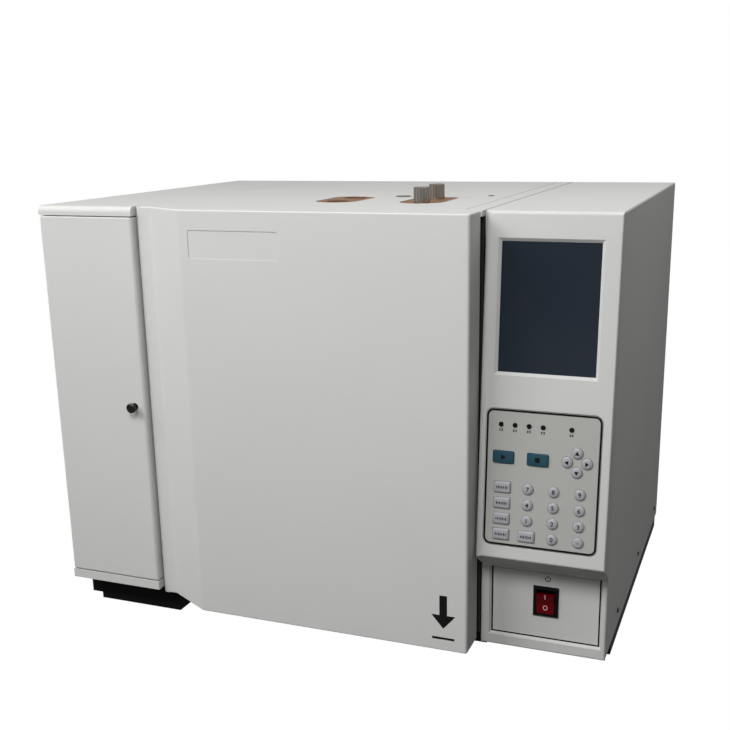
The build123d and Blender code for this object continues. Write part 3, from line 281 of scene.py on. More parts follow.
def polished(name, colour, rough=0.09):
    metal = Finish(name, Metallic=1.0)
    metal.set(Base_Color=mottled(metal, colour, 0.06, 80.0), Roughness=metal.noise(120.0) * 0.08 + rough)
    return fine_grain(metal, 0.003, 0.00001, 0.15).material


def satin(name, colour, rough=0.3):
    """Brushed plating that scatters much of its light."""
    metal = Finish(name, Metallic=0.75)
    metal.set(Base_Color=mottled(metal, colour, 0.08, 80.0), Roughness=metal.noise(120.0) * 0.1 + rough)
    return fine_grain(metal, 0.002, 0.00001, 0.2).material


def cellular(name, colour, rough=0.75):
    """Dull stuff with a fine skin: rubber, rope, wool and ink."""
    rubber = Finish(name, IOR=1.5, Specular_IOR_Level=0.12)
    rubber.set(Base_Color=mottled(rubber, colour, 0.25, 60.0),
               Roughness=rubber.noise(80.0) * 0.15 + rough - 0.07)
    return fine_grain(rubber, 0.0012, 0.00008, 0.5).material


CASE_GREY = (0.62, 0.62, 0.605)

FINISH = {
    "grey_paint": powder_coat("grey powder coat", CASE_GREY),
    "grey_plastic": moulded("grey moulded fascia", (0.60, 0.60, 0.585)),
    "black_paint": powder_coat("black powder coat", (0.004, 0.004, 0.0042), 0.6),
    "copper_paint": rolled_steel("copper-coloured plate", (0.43, 0.235, 0.135), 0.38),
    "zinc_steel": rolled_steel("zinc-plated steel", (0.55, 0.56, 0.57), 0.36),
    "stainless": rolled_steel("stainless sheet", (0.60, 0.60, 0.585), 0.24),
    "chrome": polished("chrome plate", (0.72, 0.72, 0.73)),
    "brass": polished("nickel-free brass", (0.72, 0.52, 0.24), 0.2),
    "heater_sheath": rolled_steel("heater sheath", (0.16, 0.14, 0.13), 0.45),
    "rubber": cellular("black rubber", (0.004, 0.004, 0.004)),
    "black_plastic": moulded("black plastic", (0.004, 0.004, 0.0043), 0.42),
    "keypad_film": moulded("keypad film", (0.43, 0.435, 0.41), 0.42, 0.0006),
    "key_grey": glossy("grey key caps", (0.37, 0.37, 0.39), 0.3, 0.15),
    "teal_key": glossy("teal key caps", (0.021, 0.068, 0.098), 0.4, 0.05),
    "red_plastic": glossy("red rocker", (0.115, 0.0015, 0.004), 0.3, 0.04),
    "lamp_lens": glossy("lamp lens", (0.004, 0.0045, 0.004), 0.35, 0.04),
    "display": glossy("display window", (0.0165, 0.0235, 0.034), 0.3, 0.04),
    "wool": cellular("mineral wool", (0.62, 0.55, 0.38), 0.95),
    "glass_rope": cellular("woven glass rope", (0.72, 0.71, 0.67), 0.9),
    "column": glossy("polyimide column", (0.24, 0.085, 0.02), 0.3),
}
for entry in frame["record"]["subparts"]:
    mesh = NODES[entry["node"]].data
    mesh.materials.clear()
    mesh.materials.append(FINISH[entry["material_slot"]])

# The oven case takes a dark grey as painted shade: its front shows in the gap beside the oven door, and the colour
# stands for the shade in that gap.
NODES["oven_case"].data.materials[0] = powder_coat("dark grey case, painted gap shade", (0.03, 0.03, 0.0305), 0.55)

INK = cellular("black printing ink", (0.004, 0.004, 0.004), 0.6)
PALE_INK = cellular("pale printing ink", (0.78, 0.42, 0.42), 0.5)
WHITE_INK = cellular("white printing ink", (0.80, 0.80, 0.78), 0.5)
DARK_CHROME = polished("black chrome", (0.035, 0.035, 0.037), 0.22)
SATIN = satin("satin nickel", (0.25, 0.235, 0.215), 0.26)
CAP_GREY = moulded("grey cap", (0.13, 0.13, 0.12))
DIAL = moulded("enamelled dial", (0.78, 0.78, 0.75), 0.35)


# ---------------------------------------------------------------- making pieces
class Face:
    """A flat face to set things on, measured in mm across, up and out from its corner."""

    def __init__(self, corner, across=(1, 0, 0), up=(0, 0, 1)):
        self.corner, self.across, self.up = Vector(corner), Vector(across), Vector(up)
        self.out = self.across.cross(self.up)

    def at(self, a, b, out=0.0):
        return self.corner + (self.across * a + self.up * b + self.out * out) * MM

    def moved(self, a, b, out=0.0, turn=0.0):
        """The same face from another corner, turned anticlockwise in degrees."""
        c, s = cos(radians(turn)), sin(radians(turn))
        return Face(self.at(a, b, out), self.across * c + self.up * s, self.up * c - self.across * s)


SKINS = {}


def touch(node, start, towards):
    """Where a straight line first meets a node, and the direction out of its surface there."""
    if node not in SKINS:
        mesh = NODES[node].data
        SKINS[node] = BVHTree.FromPolygons([v.co for v in mesh.vertices], [p.vertices for p in mesh.polygons])
    point, out, _, _ = SKINS[node].ray_cast(Vector(start), Vector(towards))
    return point, out


def face_on(node, start, towards, up=(0, 0, 1)):
    """The face of a node that a straight line meets first, with its corner at that point."""
    point, out = touch(node, start, towards)
    level = (Vector(up) - out * out.dot(Vector(up))).normalized()
    return Face(point, level.cross(out), level)


def rounded(width, height, corner, inset=0.0, steps=5):
    """Outline of a rounded rectangle about its middle."""
    w, h, r = width / 2 - inset, height / 2 - inset, max(corner - inset, 0.05)
    outline = []
    for quarter, (a, b) in enumerate(((w - r, h - r), (r - w, h - r), (r - w, r - h), (w - r, r - h))):
        for step in range(steps + 1):
            angle = (quarter + step / steps) * pi / 2
            outline.append((a + r * cos(angle), b + r * sin(angle)))
    return outline


def disc(radius, count=36):
    return [(radius * cos(tau * i / count), radius * sin(tau * i / count)) for i in range(count)]


def stack(bm, face, levels, caps=(True, True)):
    """Skin over outlines of equal count, each with its height out of the face."""
    rows = [[bm.verts.new(face.at(a, b, out)) for a, b in outline] for outline, out in levels]
    for low, high in zip(rows, rows[1:]):
        for i, corner in enumerate(low):
            j = (i + 1) % len(low)
            bm.faces.new((corner, low[j], high[j], high[i]))
    if caps[0]:
        bm.faces.new(rows[0][::-1])
    if caps[1]:
        bm.faces.new(rows[-1])


def turned(bm, face, profile, count=36, caps=(True, True)):
    """Turned piece about the face's corner, from (radius, height) pairs."""
    stack(bm, face, [(disc(radius, count), out) for radius, out in profile], caps)


def band(bm, face, outer, inner, lift=0.06, sink=0.03):
    """Flat ring between two outlines."""
    stack(bm, face, [(outer, -sink), (outer, lift), (inner, lift), (inner, -sink)], (False, False))


def printed(bm, face, outline, lift=0.05):
    """Thin printed shape."""
    stack(bm, face, [(outline, -0.03), (outline, lift)], (False, True))


def bar(bm, face, a, b, width, height, lift=0.05):
    """Thin printed bar about a point."""
    printed(bm, face.moved(a, b), rounded(width, height, 0.12, steps=2), lift)


def lettering(bm, face, word, size, lift=0.05):
    """Flat lettering about the face's corner."""
    curve = bpy.data.curves.new("word", "FONT")
    curve.body, curve.size, curve.resolution_u = word, size, 3
    curve.offset = size * 0.018
    curve.align_x, curve.align_y = "CENTER", "CENTER"
    item = bpy.data.objects.new("word", curve)
    mesh = bpy.data.meshes.new_from_object(item)
    corners = [bm.verts.new(face.at(v.co.x, v.co.y, lift)) for v in mesh.vertices]
    for polygon in mesh.polygons:
        bm.faces.new([corners[i] for i in polygon.vertices])
    for used, store in ((item, bpy.data.objects), (curve, bpy.data.curves), (mesh, bpy.data.meshes)):
        store.remove(used)


def tube(bm, points, radius, sides=8, closed=False):
    """Round rod along a line of points in metres."""
    points = [Vector(p) for p in points]
    count = len(points)
    rows, side = [], None
    for i, point in enumerate(points):
        ahead = points[(i + 1) % count] if closed or i < count - 1 else point
        behind = points[i - 1] if closed or i else point
        along = (ahead - behind).normalized()
        side = along.orthogonal() if side is None else side - along * side.dot(along)
        side.normalize()
        other = along.cross(side)
        turns = [tau * k / sides for k in range(sides)]
        rows.append([bm.verts.new(point + (side * cos(turn) + other * sin(turn)) * radius) for turn in turns])
    pairs = list(zip(rows, rows[1:])) + ([(rows[-1], rows[0])] if closed else [])
    for low, high in pairs:
        for k in range(sides):
            bm.faces.new((low[k], low[(k + 1) % sides], high[(k + 1) % sides], high[k]))
    if not closed:
        bm.faces.new(rows[0][::-1])
        bm.faces.new(rows[-1])


def put(name, bm, body, slot, finish=None, smooth=32, instead_of=None):
    """Finishes a mesh as a piece that rides on a body."""
    mesh = bpy.data.meshes.new(name)
    bmesh.ops.recalc_face_normals(bm, faces=bm.faces)
    bm.to_mesh(mesh)
    bm.free()
    mesh.shade_smooth()
    mesh.set_sharp_from_angle(angle=radians(smooth))
    mesh.materials.append(finish or FINISH[slot])
    item = bpy.data.objects.new(name, mesh)
    bpy.context.scene.collection.objects.link(item)
    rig.ride(item, body)
    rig.slot(item, slot)
    if instead_of:
        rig.replaces(item, instead_of)
    return item


def cross_outline(reach, half, count=32):
    """Outline of a cross recess, one point each way round."""
    outline = []
    for i in range(count):
        angle = tau * i / count
        off = abs((angle + pi / 4) % (pi / 2) - pi / 4)
        distance = reach / cos(off) if sin(off) * reach < half * cos(off) else half / sin(off)
        outline.append((distance * cos(angle), distance * sin(angle)))
    return outline


def pan_screw(bm, face, radius=2.8, height=1.5, turn=20):
    """Pan-head screw with a cross recess."""
    face = face.moved(0, 0, 0, turn)
    dome = [(1.0, 0.0), (1.0, 0.35), (0.94, 0.62), (0.8, 0.84), (0.62, 0.98)]
    levels = [(disc(radius * r, 32), height * h) for r, h in dome]
    cross = cross_outline(radius * 0.52, radius * 0.12)
    stack(bm, face, levels + [(cross, height), (cross, height * 0.35)], (False, True))


def washer(bm, face, outer, inner, gauge):
    band(bm, face, disc(outer), disc(inner), gauge)


# ---------------------------------------------------------------- oven door
def oven_door_arrow():
    """Downward arrow printed low on the door, over a short line."""
    face = face_on("oven_door", (0.15, -0.4, 0.07), INWARD)
    bm = bmesh.new()
    printed(bm, face, [(-3.9, 19.2), (-3.9, -1.6), (-12.3, -1.6), (0.1, -15.9), (12.4, -1.6), (3.9, -1.6),
                       (3.9, 19.2)])
    bar(bm, face, 0, -26.5, 23.0, 2.4)
    put("oven_door_arrow", bm, "oven_door_body", "black_plastic", INK)


def door_liner_screws():
    low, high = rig.box("oven_door_liner")
    bm = bmesh.new()
    for x in (low.x + 0.012, (low.x + high.x) / 2, high.x - 0.012):
        for z in (low.z + 0.012, high.z - 0.012):
            pan_screw(bm, face_on("oven_door_liner", (x, 0.0, z), FORWARD), 2.6)
    for x in (low.x + 0.012, high.x - 0.012):
        pan_screw(bm, face_on("oven_door_liner", (x, 0.0, (low.z + high.z) / 2), FORWARD), 2.6)
    put("door_liner_screws", bm, "oven_door_body", "stainless")


# ---------------------------------------------------------------- keypad
KEY_COLUMNS = (17.2, 41.6, 66.0, 90.5)
KEY_ROWS = (57.3, 41.9, 26.5, 11.1)
RUN_KEYS = {"run": (17.3, 86.7), "stop": (49.9, 86.7)}
ARROW_CENTRE, ARROW_REACH = (86.4, 87.1), 9.15
LAMPS, LAMP_ROW = (14.1, 27.3, 40.5, 53.7, 80.1), 117.8
KEYPAD_SIZE = (108.0, 132.4)
KEY_TOP = 1.7


def keypad_face():
    """Front of the keypad, from its lower left corner."""
    low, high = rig.box("keypad_plate")
    _, out = touch("keypad_plate", ((low.x + high.x) / 2, low.y - 0.1, high.z - 0.004), INWARD)
    corner = (low.x, low.y, high.z + KEYPAD_SIZE[1] * MM * out.y)
    return Face(corner, (1, 0, 0), (0, out.z, -out.y))


def cap(bm, face, size):
    """Key cap with a bevelled shoulder and a raised middle."""
    shoulder = [(0.0, -0.8), (0.0, 0.45), (0.08, 0.7), (0.28, 0.9), (1.2, 1.36), (1.5, 1.42), (1.62, 1.5),
                (1.85, 1.66), (2.1, KEY_TOP)]
    if isinstance(size, tuple):
        levels = [(rounded(*size, 1.6, inset * 0.8), out) for inset, out in shoulder]
    else:
        levels = [(disc(size - inset, 40), out) for inset, out in shoulder]
    stack(bm, face, levels)


def run_cap(bm, face):
    stack(bm, face, [(rounded(20.2, 11.6, 1.6, inset), out) for inset, out in
                     ((0.0, -0.8), (0.0, 1.1), (0.12, 1.4), (0.4, 1.62), (0.8, KEY_TOP))])


def triangle(reach):
    return [(0, reach), (-reach * 0.92, -reach * 0.62), (reach * 0.92, -reach * 0.62)]


def menu_mark(bm, face, row):
    """Short strokes in the middle of an oblong key."""
    for index in range(7):
        bar(bm, face, (index - 3) * 1.6, 0.0, 0.85, (2.7, 2.0, 3.0, 2.0, 2.6, 2.1, 2.8)[(index + row) % 7])


def keys(face):
    """Every key cap and its legend."""
    places = {}
    for digit, (column, row) in {"7": (1, 0), "8": (2, 0), "9": (3, 0), "4": (1, 1), "5": (2, 1), "6": (3, 1),
                                 "1": (1, 2), "2": (2, 2), "3": (3, 2), "0": (2, 3), "point": (3, 3)}.items():
        places[digit] = (KEY_COLUMNS[column], KEY_ROWS[row])
    for index, (column, row) in enumerate(((0, 0), (0, 1), (0, 2), (0, 3), (1, 3))):
        places[f"menu_{index + 1}"] = (KEY_COLUMNS[column], KEY_ROWS[row])
    for name, (across, up) in {"up": (0, 1), "left": (-1, 0), "down": (0, -1), "right": (1, 0)}.items():
        places[name] = (ARROW_CENTRE[0] + across * ARROW_REACH, ARROW_CENTRE[1] + up * ARROW_REACH)
    places.update(RUN_KEYS)
    turns = {"up": 0, "left": 90, "down": 180, "right": 270}
    for name, (a, b) in places.items():
        seat = face.moved(a, b)
        top = face.moved(a, b, KEY_TOP)
        body = f"key_{name}_body"
        bm, mark = bmesh.new(), bmesh.new()
        slot = "key_grey"
        if name in RUN_KEYS:
            slot = "teal_key"
            run_cap(bm, seat)
            if name == "run":
                printed(mark, top.moved(0, 0, 0, -90), triangle(2.9))
            else:
                printed(mark, top, rounded(4.6, 4.6, 0.3, steps=2))
        elif name.startswith("menu"):
            cap(bm, seat, (16.2, 11.2))
            menu_mark(mark, top, int(name[-1]))
        else:
            cap(bm, seat, 5.3)
            if name in turns:
                printed(mark, top.moved(0, 0, 0, turns[name]), triangle(2.3))
            elif name == "point":
                printed(mark, top, disc(0.6, 16))
            else:
                lettering(mark, top, name, 6.0)
        put(f"key_{name}_cap", bm, body, slot, instead_of=f"key_{name}")
        put(f"key_{name}_legend", mark, body, slot, INK)


def keypad_print(face):
    """Black line round the keypad and a small pair of marks under each lamp."""
    middle = face.moved(KEYPAD_SIZE[0] / 2, KEYPAD_SIZE[1] / 2)
    bm = bmesh.new()
    band(bm, middle, rounded(*KEYPAD_SIZE, 7.0, 0.15, 8), rounded(*KEYPAD_SIZE, 7.0, 2.1, 8))
    for a in LAMPS:
        for side in (-1.1, 1.1):
            bar(bm, face, a + side, LAMP_ROW - 6.1, 1.8, 0.6)
            bar(bm, face, a + side, LAMP_ROW - 4.5, 1.8, 0.6)
            bar(bm, face, a + side, LAMP_ROW - 5.3, 0.7, 2.0)
    put("keypad_print", bm, "chassis", "keypad_film", INK)


# ---------------------------------------------------------------- mains switch
ROCKER_MIDDLE = 0.24145
SURROUND = {"left": 10.4, "right": 6.4, "foot": 13.0, "head": 3.6, "depth": 3.0}


def switch_marks():
    """On and off marks of the rocker, and the mark over the switch."""
    bm = bmesh.new()
    top = face_on("power_rocker", (ROCKER_MIDDLE, -0.3, 0.0838), INWARD)
    bar(bm, top, 0, 0, 1.25, 5.4)
    foot = face_on("power_rocker", (ROCKER_MIDDLE, -0.3, 0.0712), INWARD)
    band(bm, foot, [(a * 0.88, b) for a, b in disc(2.6)], [(a * 0.84, b) for a, b in disc(1.85)])
    put("rocker_marks", bm, "power_rocker_body", "red_plastic", PALE_INK)
    bm = bmesh.new()
    over = face_on("switch_panel", (0.2428, -0.3, 0.1008), INWARD)
    count, gap = 28, 32
    sweep = [90 + gap + (360 - 2 * gap) * i / count for i in range(count + 1)]
    printed(bm, over, [(radius * cos(radians(angle)), radius * sin(radians(angle)))
                       for radius, angles in ((2.9, sweep), (2.05, sweep[::-1])) for angle in angles])
    bar(bm, over, 0, 2.0, 0.85, 3.4)
    put("switch_mark", bm, "chassis", "black_plastic", INK)


def panel_gap_shade():
    """Black strip in the groove round the switch panel, painted shade of the gap between the panel and its surround.
    """
    low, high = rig.box("switch_panel")
    a = ((high.x - low.x) / MM - SURROUND["left"] - SURROUND["right"]) / 2
    b = ((high.z - low.z) / MM - SURROUND["foot"] - SURROUND["head"]) / 2
    middle = Face(low).moved(SURROUND["left"] + a, SURROUND["foot"] + b, -SURROUND["depth"])
    gauge = 1.5
    bm = bmesh.new()
    printed(bm, middle, [(-a, b), (-a, -b), (a, -b), (a, b), (a - gauge, b), (a - gauge, gauge - b),
                         (gauge - a, gauge - b), (gauge - a, b)], 0.08)
    put("panel_gap_shade", bm, "chassis", "rubber")


# ---------------------------------------------------------------- gas compartment
GAS_MIDDLE = -0.24475
GAUGES = {1: 0.397, 2: 0.227}
VALVES = {"carrier_valve_a": 0.323, "carrier_valve_b": 0.153}
SCALE_SWEEP, SCALE_STEPS, SCALE_TOP = 270, 50, 10
READINGS = {1: 4.3, 2: 3.1}


def gauge_dial(index, height):
    """White dial with its scale, numbers and pointer."""
    face = face_on("pressure_gauges", (GAS_MIDDLE, -0.3, height), INWARD)
    bm = bmesh.new()
    turned(bm, face, [(19.4, 0.0), (19.4, 0.35), (19.0, 0.5)], 48, (False, True))
    put(f"gauge_{index}_dial", bm, "chassis", "chrome", DIAL)
    face = face.moved(0, 0, 0.5)
    bm = bmesh.new()
    for step in range(SCALE_STEPS + 1):
        turn = SCALE_SWEEP / 2 - SCALE_SWEEP * step / SCALE_STEPS
        long = step % 5 == 0
        bar(bm, face.moved(0, 0, 0, turn), 0, 16.2 if long else 16.8, 0.55 if long else 0.28,
            3.2 if long else 1.9)
        if step % 10 == 0:
            figures = 11.4
            a, b = -figures * sin(radians(turn)), figures * cos(radians(turn))
            lettering(bm, face.moved(a, b), str(step * SCALE_TOP // SCALE_STEPS), 4.4)
    put(f"gauge_{index}_scale", bm, "chassis", "black_plastic", INK)
    bm = bmesh.new()
    pointer = face.moved(0, 0, 0.9, SCALE_SWEEP * (0.5 - READINGS[index] / SCALE_TOP))
    stack(bm, pointer, [([(-0.9, -5.5), (0.9, -5.5), (0.7, 0), (0.12, 15.2), (-0.12, 15.2), (-0.7, 0)], h)
                        for h in (0.0, 0.4)])
    turned(bm, pointer, [(2.4, -0.9), (2.4, 0.5), (2.0, 0.9)], 24)
    put(f"gauge_{index}_pointer", bm, "chassis", "black_plastic")


def valve_marks(name, height):
    """White line on the knob, and its turning scale on the panel."""
    bm = bmesh.new()
    low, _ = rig.box(name)
    knob = Face((GAS_MIDDLE, low.y, height))
    bar(bm, knob.moved(0, 0, -0.55), 0, 7.5, 1.1, 8.6)
    put(f"{name}_line", bm, f"{name}_body", "black_plastic", WHITE_INK)
    aside = 22
    face = face_on("gas_panel", (GAS_MIDDLE + aside * MM, -0.3, height), INWARD).moved(-aside, 0)
    bm = bmesh.new()
    steps, radius, gauge, half_sweep = 24, 18.2, 0.8, 125
    printed(bm, face, [(reach * sin(radians(angle)), reach * cos(radians(angle)))
                       for reach, way in ((radius + gauge, 1), (radius, -1))
                       for angle in [way * half_sweep * (2 * i / steps - 1) for i in range(steps + 1)]])
    middle, past = radius + gauge / 2, half_sweep + 3
    tip = face.moved(middle * sin(radians(past)), middle * cos(radians(past)), 0, -90 - past)
    printed(bm, tip, triangle(2.2))
    bar(bm, face, -20.5, -15.5, 3.6, 0.8)
    bar(bm, face, 20.5, -15.5, 3.6, 0.8)
    bar(bm, face, 20.5, -15.5, 0.8, 3.6, 0.06)
    put(f"{name}_scale", bm, "chassis", "black_plastic", INK)


def gas_door_pull():
    """Turned pull knob with a dished front."""
    low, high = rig.box("gas_door_knob")
    middle = Face(((low.x + high.x) / 2, high.y, (low.z + high.z) / 2))
    reach = (high.y - low.y) / MM
    bm = bmesh.new()
    turned(bm, middle, [(3.9, 0.0), (3.9, 0.6), (2.7, 1.1), (2.6, reach * 0.38), (3.2, reach * 0.5),
                        (4.9, reach * 0.6), (5.3, reach * 0.7), (5.3, reach - 1.4), (5.0, reach - 0.5),
                        (4.4, reach - 0.05), (3.7, reach), (3.2, reach - 0.25), (1.6, reach - 0.7),
                        (0.3, reach - 0.8)], 40)
    put("gas_door_pull", bm, "gas_door_body", "black_plastic", DARK_CHROME, instead_of="gas_door_knob")


NUT_LAND, NUT_GROOVE, NUT_PLAIN = 8.2, 7.35, 7.9        # radii, the last one of the ends
KNURLS, KNURL_STEPS, LAND_STEPS = 16, 7, 4


def knurled_nuts():
    """Round septum nuts with straight knurling and a needle guide in the top."""
    low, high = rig.box("septum_nuts")
    rise = (high.z - low.z) / MM
    count = KNURLS * KNURL_STEPS
    knurled = [NUT_LAND if i % KNURL_STEPS < LAND_STEPS else NUT_GROOVE for i in range(count)]
    plain = [NUT_PLAIN] * count
    levels = []
    for ring, scale, out in ((plain, 0.95, 0.0), (knurled, 1.0, 0.5), (knurled, 1.0, rise - 0.8),
                             (plain, 0.965, rise - 0.25), (plain, 0.93, rise), (plain, 0.42, rise),
                             (plain, 0.2, rise - 2.2)):
        levels.append(([(r * scale * cos(tau * i / count), r * scale * sin(tau * i / count))
                        for i, r in enumerate(ring)], out))
    bm = bmesh.new()
    for y in (low.y + NUT_LAND * MM, high.y - NUT_LAND * MM):
        stack(bm, Face(((low.x + high.x) / 2, y, low.z), *LYING), levels)
    put("septum_nut_caps", bm, "chassis", "chrome", SATIN, instead_of="septum_nuts")


def seal_rings_and_bore_shade():
    """Black seal rings round the two bores in the left port's plate, each over a shallow black dish that is painted
    shade of the bore inside, and each with a raised lip.
    """
    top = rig.box("port_plates")[1].z
    bm, lips = bmesh.new(), bmesh.new()
    for y in (-0.1158, -0.0658):
        hole = Face((-0.00475, y, top), *LYING)
        turned(bm, hole, [(11.6, 0.0), (11.4, 0.12), (7.4, 0.1), (6.4, -1.5), (0.4, -1.6)], 40,
               (False, True))
        band(lips, hole, disc(13.0, 40), disc(11.5, 40), 0.4)
    put("port_seals_and_bore_shade", bm, "chassis", "black_plastic")
    put("port_bore_lips", lips, "chassis", "copper_paint")


def cover_seam_shade():
    """Black strips painted as shade: one in the seam between the two covers, and a thinner one beside it for the shade
    of a fold.
    """
    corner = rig.box("top_cover")[1]
    bm = bmesh.new()
    for x, width in ((corner.x + 0.0002, 0.8), (corner.x - 0.019, 0.35)):
        bar(bm, Face((x, 0.012, corner.z), *LYING), 0, 0, width, 416.0, 0.06)
    put("cover_seam_shade", bm, "chassis", "rubber")


def spare_port_caps():
    """Flush caps over two unused openings of the top cover."""
    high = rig.box("top_cover")[1].z
    bm = bmesh.new()
    for x, y, radius in ((0.0440, -0.0470, 8.6), (0.1360, -0.0276, 3.4)):
        turned(bm, Face((x, y, high), *LYING),
               [(radius, 0.0), (radius, 0.4), (radius - 0.4, 0.7), (radius - 1.4, 0.7), (radius - 1.8, 0.35),
                (0.4, 0.35)])
    put("spare_port_caps", bm, "chassis", "black_plastic", CAP_GREY)


def gas_panel_screws():
    low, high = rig.box("gas_panel")
    bm = bmesh.new()
    for x in (low.x + 0.007, high.x - 0.007):
        for z in (low.z + 0.012, low.z + 0.135, low.z + 0.27, high.z - 0.012):
            pan_screw(bm, face_on("gas_panel", (x, -0.3, z), INWARD), 2.4, 1.3, 35)
    put("gas_panel_screws", bm, "chassis", "zinc_steel")


# ---------------------------------------------------------------- column
def column_windings():
    """Capillary column wound on a wire cage."""
    low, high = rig.box("column_coil")
    bars, outer, inner, hoop = 0.004, 0.0815, 0.0728, 0.0845
    depth, thin = 0.034, 0.32
    x, z = (low.x + high.x) / 2, low.z + 0.086
    y = (high.y + low.y - 0.0015) / 2
    half, wire = 0.013 - 0.0008, 0.00078
    turns, layers = 15, 6
    around = [(outer, -half + 2 * half * i / turns) for i in range(turns + 1)]
    around += [(outer - (outer - inner) * i / layers, half) for i in range(1, layers)]
    around += [(inner, half - 2 * half * i / turns) for i in range(turns + 1)]
    around += [(inner + (outer - inner) * i / layers, -half) for i in range(1, layers)]
    points = []
    steps = 44
    for turn, (radius, along) in enumerate(around):
        after = around[(turn + 1) % len(around)]
        for step in range(steps):
            part = max(0.0, step / steps - 0.9) * 10
            r = radius + (after[0] - radius) * part + 0.00012 * sin(turn * 2.4 + step * 0.3)
            a = tau * step / steps
            points.append((x + r * cos(a), y + along + (after[1] - along) * part, z + r * sin(a)))
    bm = bmesh.new()
    tube(bm, points, wire, 6, closed=True)
    put("column_windings", bm, "chassis", "column", instead_of="column_coil", smooth=60)
    bm = bmesh.new()
    ends = (low.y + bars / 2, low.y + depth - bars / 2)
    for end in ends:
        ring = [(x + hoop * cos(tau * i / 48), end, z + hoop * sin(tau * i / 48)) for i in range(48)]
        tube(bm, ring, bars * thin, 8, closed=True)
        for angle in (30, 90, 150):
            reach = Vector((cos(radians(angle)), 0, sin(radians(angle)))) * hoop
            middle = Vector((x, end, z))
            tube(bm, (middle - reach, middle + reach), bars * thin)
    for index in range(6):
        angle = tau * (index + 0.5) / 6
        reach = inner - 0.0022
        tube(bm, [(x + reach * cos(angle), end, z + reach * sin(angle)) for end in ends], bars * thin)
    tube(bm, [(x, ends[0], z), (x, ends[1], z)], bars * 0.8, 16)
    put("column_cage", bm, "chassis", "stainless", smooth=50)
    bm = bmesh.new()
    back = Face((x, low.y + depth, z), (-1, 0, 0))
    top = (high.z - z) / MM
    stack(bm, back.moved(0, top / 2 - 4), [(rounded(8, top + 8, 2, 0.0), 0.0), (rounded(8, top + 8, 2), 1.5)])
    stack(bm, back.moved(0, top - 0.75, -12), [(rounded(40, 1.5, 0.3), 0.0), (rounded(40, 1.5, 0.3), 13.5)])
    put("column_hanger", bm, "chassis", "stainless")
    bm = bmesh.new()
    for side in (-14, 14):
        pan_screw(bm, Face(back.at(side, top - 1.5, -6), (1, 0, 0), (0, -1, 0)), 2.6, 1.3)
    put("column_hanger_screws", bm, "chassis", "stainless")


def baffle_screws():
    low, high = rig.box("fan_baffle")
    bm = bmesh.new()
    for x in (low.x + 0.008, high.x - 0.008):
        for z in (low.z + 0.008, high.z - 0.008):
            face = face_on("fan_baffle", (x, -0.3, z), INWARD)
            washer(bm, face, 5.0, 2.0, 0.6)
            pan_screw(bm, face.moved(0, 0, 0.6), 3.2, 1.8)
    put("baffle_screws", bm, "chassis", "stainless")


# ---------------------------------------------------------------- outer panels
def panel_screws():
    """Screws of the rear panel and of the two side covers."""
    low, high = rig.box("rear_panel")
    bm = bmesh.new()
    for x in (low.x + 0.008, -0.19, -0.09, 0.01, 0.11, 0.176, high.x - 0.008):
        for z in (low.z + 0.008, high.z - 0.008):
            pan_screw(bm, face_on("rear_panel", (x, 0.4, z), FORWARD), 2.8, 1.5, x * 900)
    for x in (low.x + 0.008, high.x - 0.008):
        for z in (0.16, 0.30):
            pan_screw(bm, face_on("rear_panel", (x, 0.4, z), FORWARD), 2.8, 1.5, z * 900)
    put("rear_panel_screws", bm, "chassis", "black_paint")
    bm = bmesh.new()
    for y in (-0.122, 0.034, 0.19):
        pan_screw(bm, face_on("control_cover", (0.5, y, 0.0425), (-1, 0, 0)), 2.6, 1.1, y * 700)
        pan_screw(bm, face_on("gas_cabinet", (-0.5, y, 0.0475), (1, 0, 0)), 2.6, 1.1, y * 700)
    put("side_cover_screws", bm, "chassis", "black_paint")


def inlet_pins():
    """Three flat pins in the mains inlet, and the two screws of its flange."""
    low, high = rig.box("power_inlet")
    middle = ((low.x + high.x) / 2, (low.z + high.z) / 2)
    pins, screws = bmesh.new(), bmesh.new()
    for across, up in ((-7.0, -2.0), (7.0, -2.0), (0.0, 2.0)):
        foot = face_on("power_inlet", (middle[0] + across * MM, 0.4, middle[1] + up * MM), FORWARD)
        stack(pins, foot, [(rounded(2.0, 4.0, 0.3, inset), out)
                           for inset, out in ((0, 0.0), (0, 11.4), (0.3, 12.2), (0.7, 12.6))])
    for side in (-20.0, 20.0):
        pan_screw(screws, face_on("power_inlet", (middle[0] + side * MM, 0.4, middle[1]), FORWARD),
                  2.2, 0.8)
    put("inlet_pins", pins, "chassis", "brass")
    put("inlet_screws", screws, "chassis", "black_paint")


def earth_stud():
    """Earth stud with its nut and washer beside the mains inlet."""
    face = face_on("rear_panel", (0.196, 0.4, 0.075), FORWARD)
    bm = bmesh.new()
    washer(bm, face, 5.5, 2.0, 0.9)
    nut = [(4.6 * cos(tau * i / 6), 4.6 * sin(tau * i / 6)) for i in range(6)]
    stack(bm, face, [(nut, 0.9), (nut, 4.0)], (False, True))
    turned(bm, face, [(2.0, 0.0), (2.0, 8.0), (1.6, 8.5)], 20)
    put("earth_stud", bm, "chassis", "brass")


oven_door_arrow()
door_liner_screws()
keypad = keypad_face()
keys(keypad)
keypad_print(keypad)
switch_marks()
panel_gap_shade()
for number, level in GAUGES.items():
    gauge_dial(number, level)
for label, level in VALVES.items():
    valve_marks(label, level)
gas_door_pull()
knurled_nuts()
seal_rings_and_bore_shade()
cover_seam_shade()
spare_port_caps()
gas_panel_screws()
column_windings()
baffle_screws()
panel_screws()
inlet_pins()
earth_stud()


# ---------------------------------------------------------------- studio
GLOSS_SHARE = 0.35      # of the white background, in shiny surfaces


def background_share(shade):
    """How far a ray sees the plain white background: whole from the camera and through glass."""
    seen, shiny, clear = (shade.add("ShaderNodeLightPath", out=f"Is {kind} Ray")
                          for kind in ("Camera", "Glossy", "Transmission"))
    return seen.maths("MAXIMUM", shiny * GLOSS_SHARE).maths("MAXIMUM", clear)


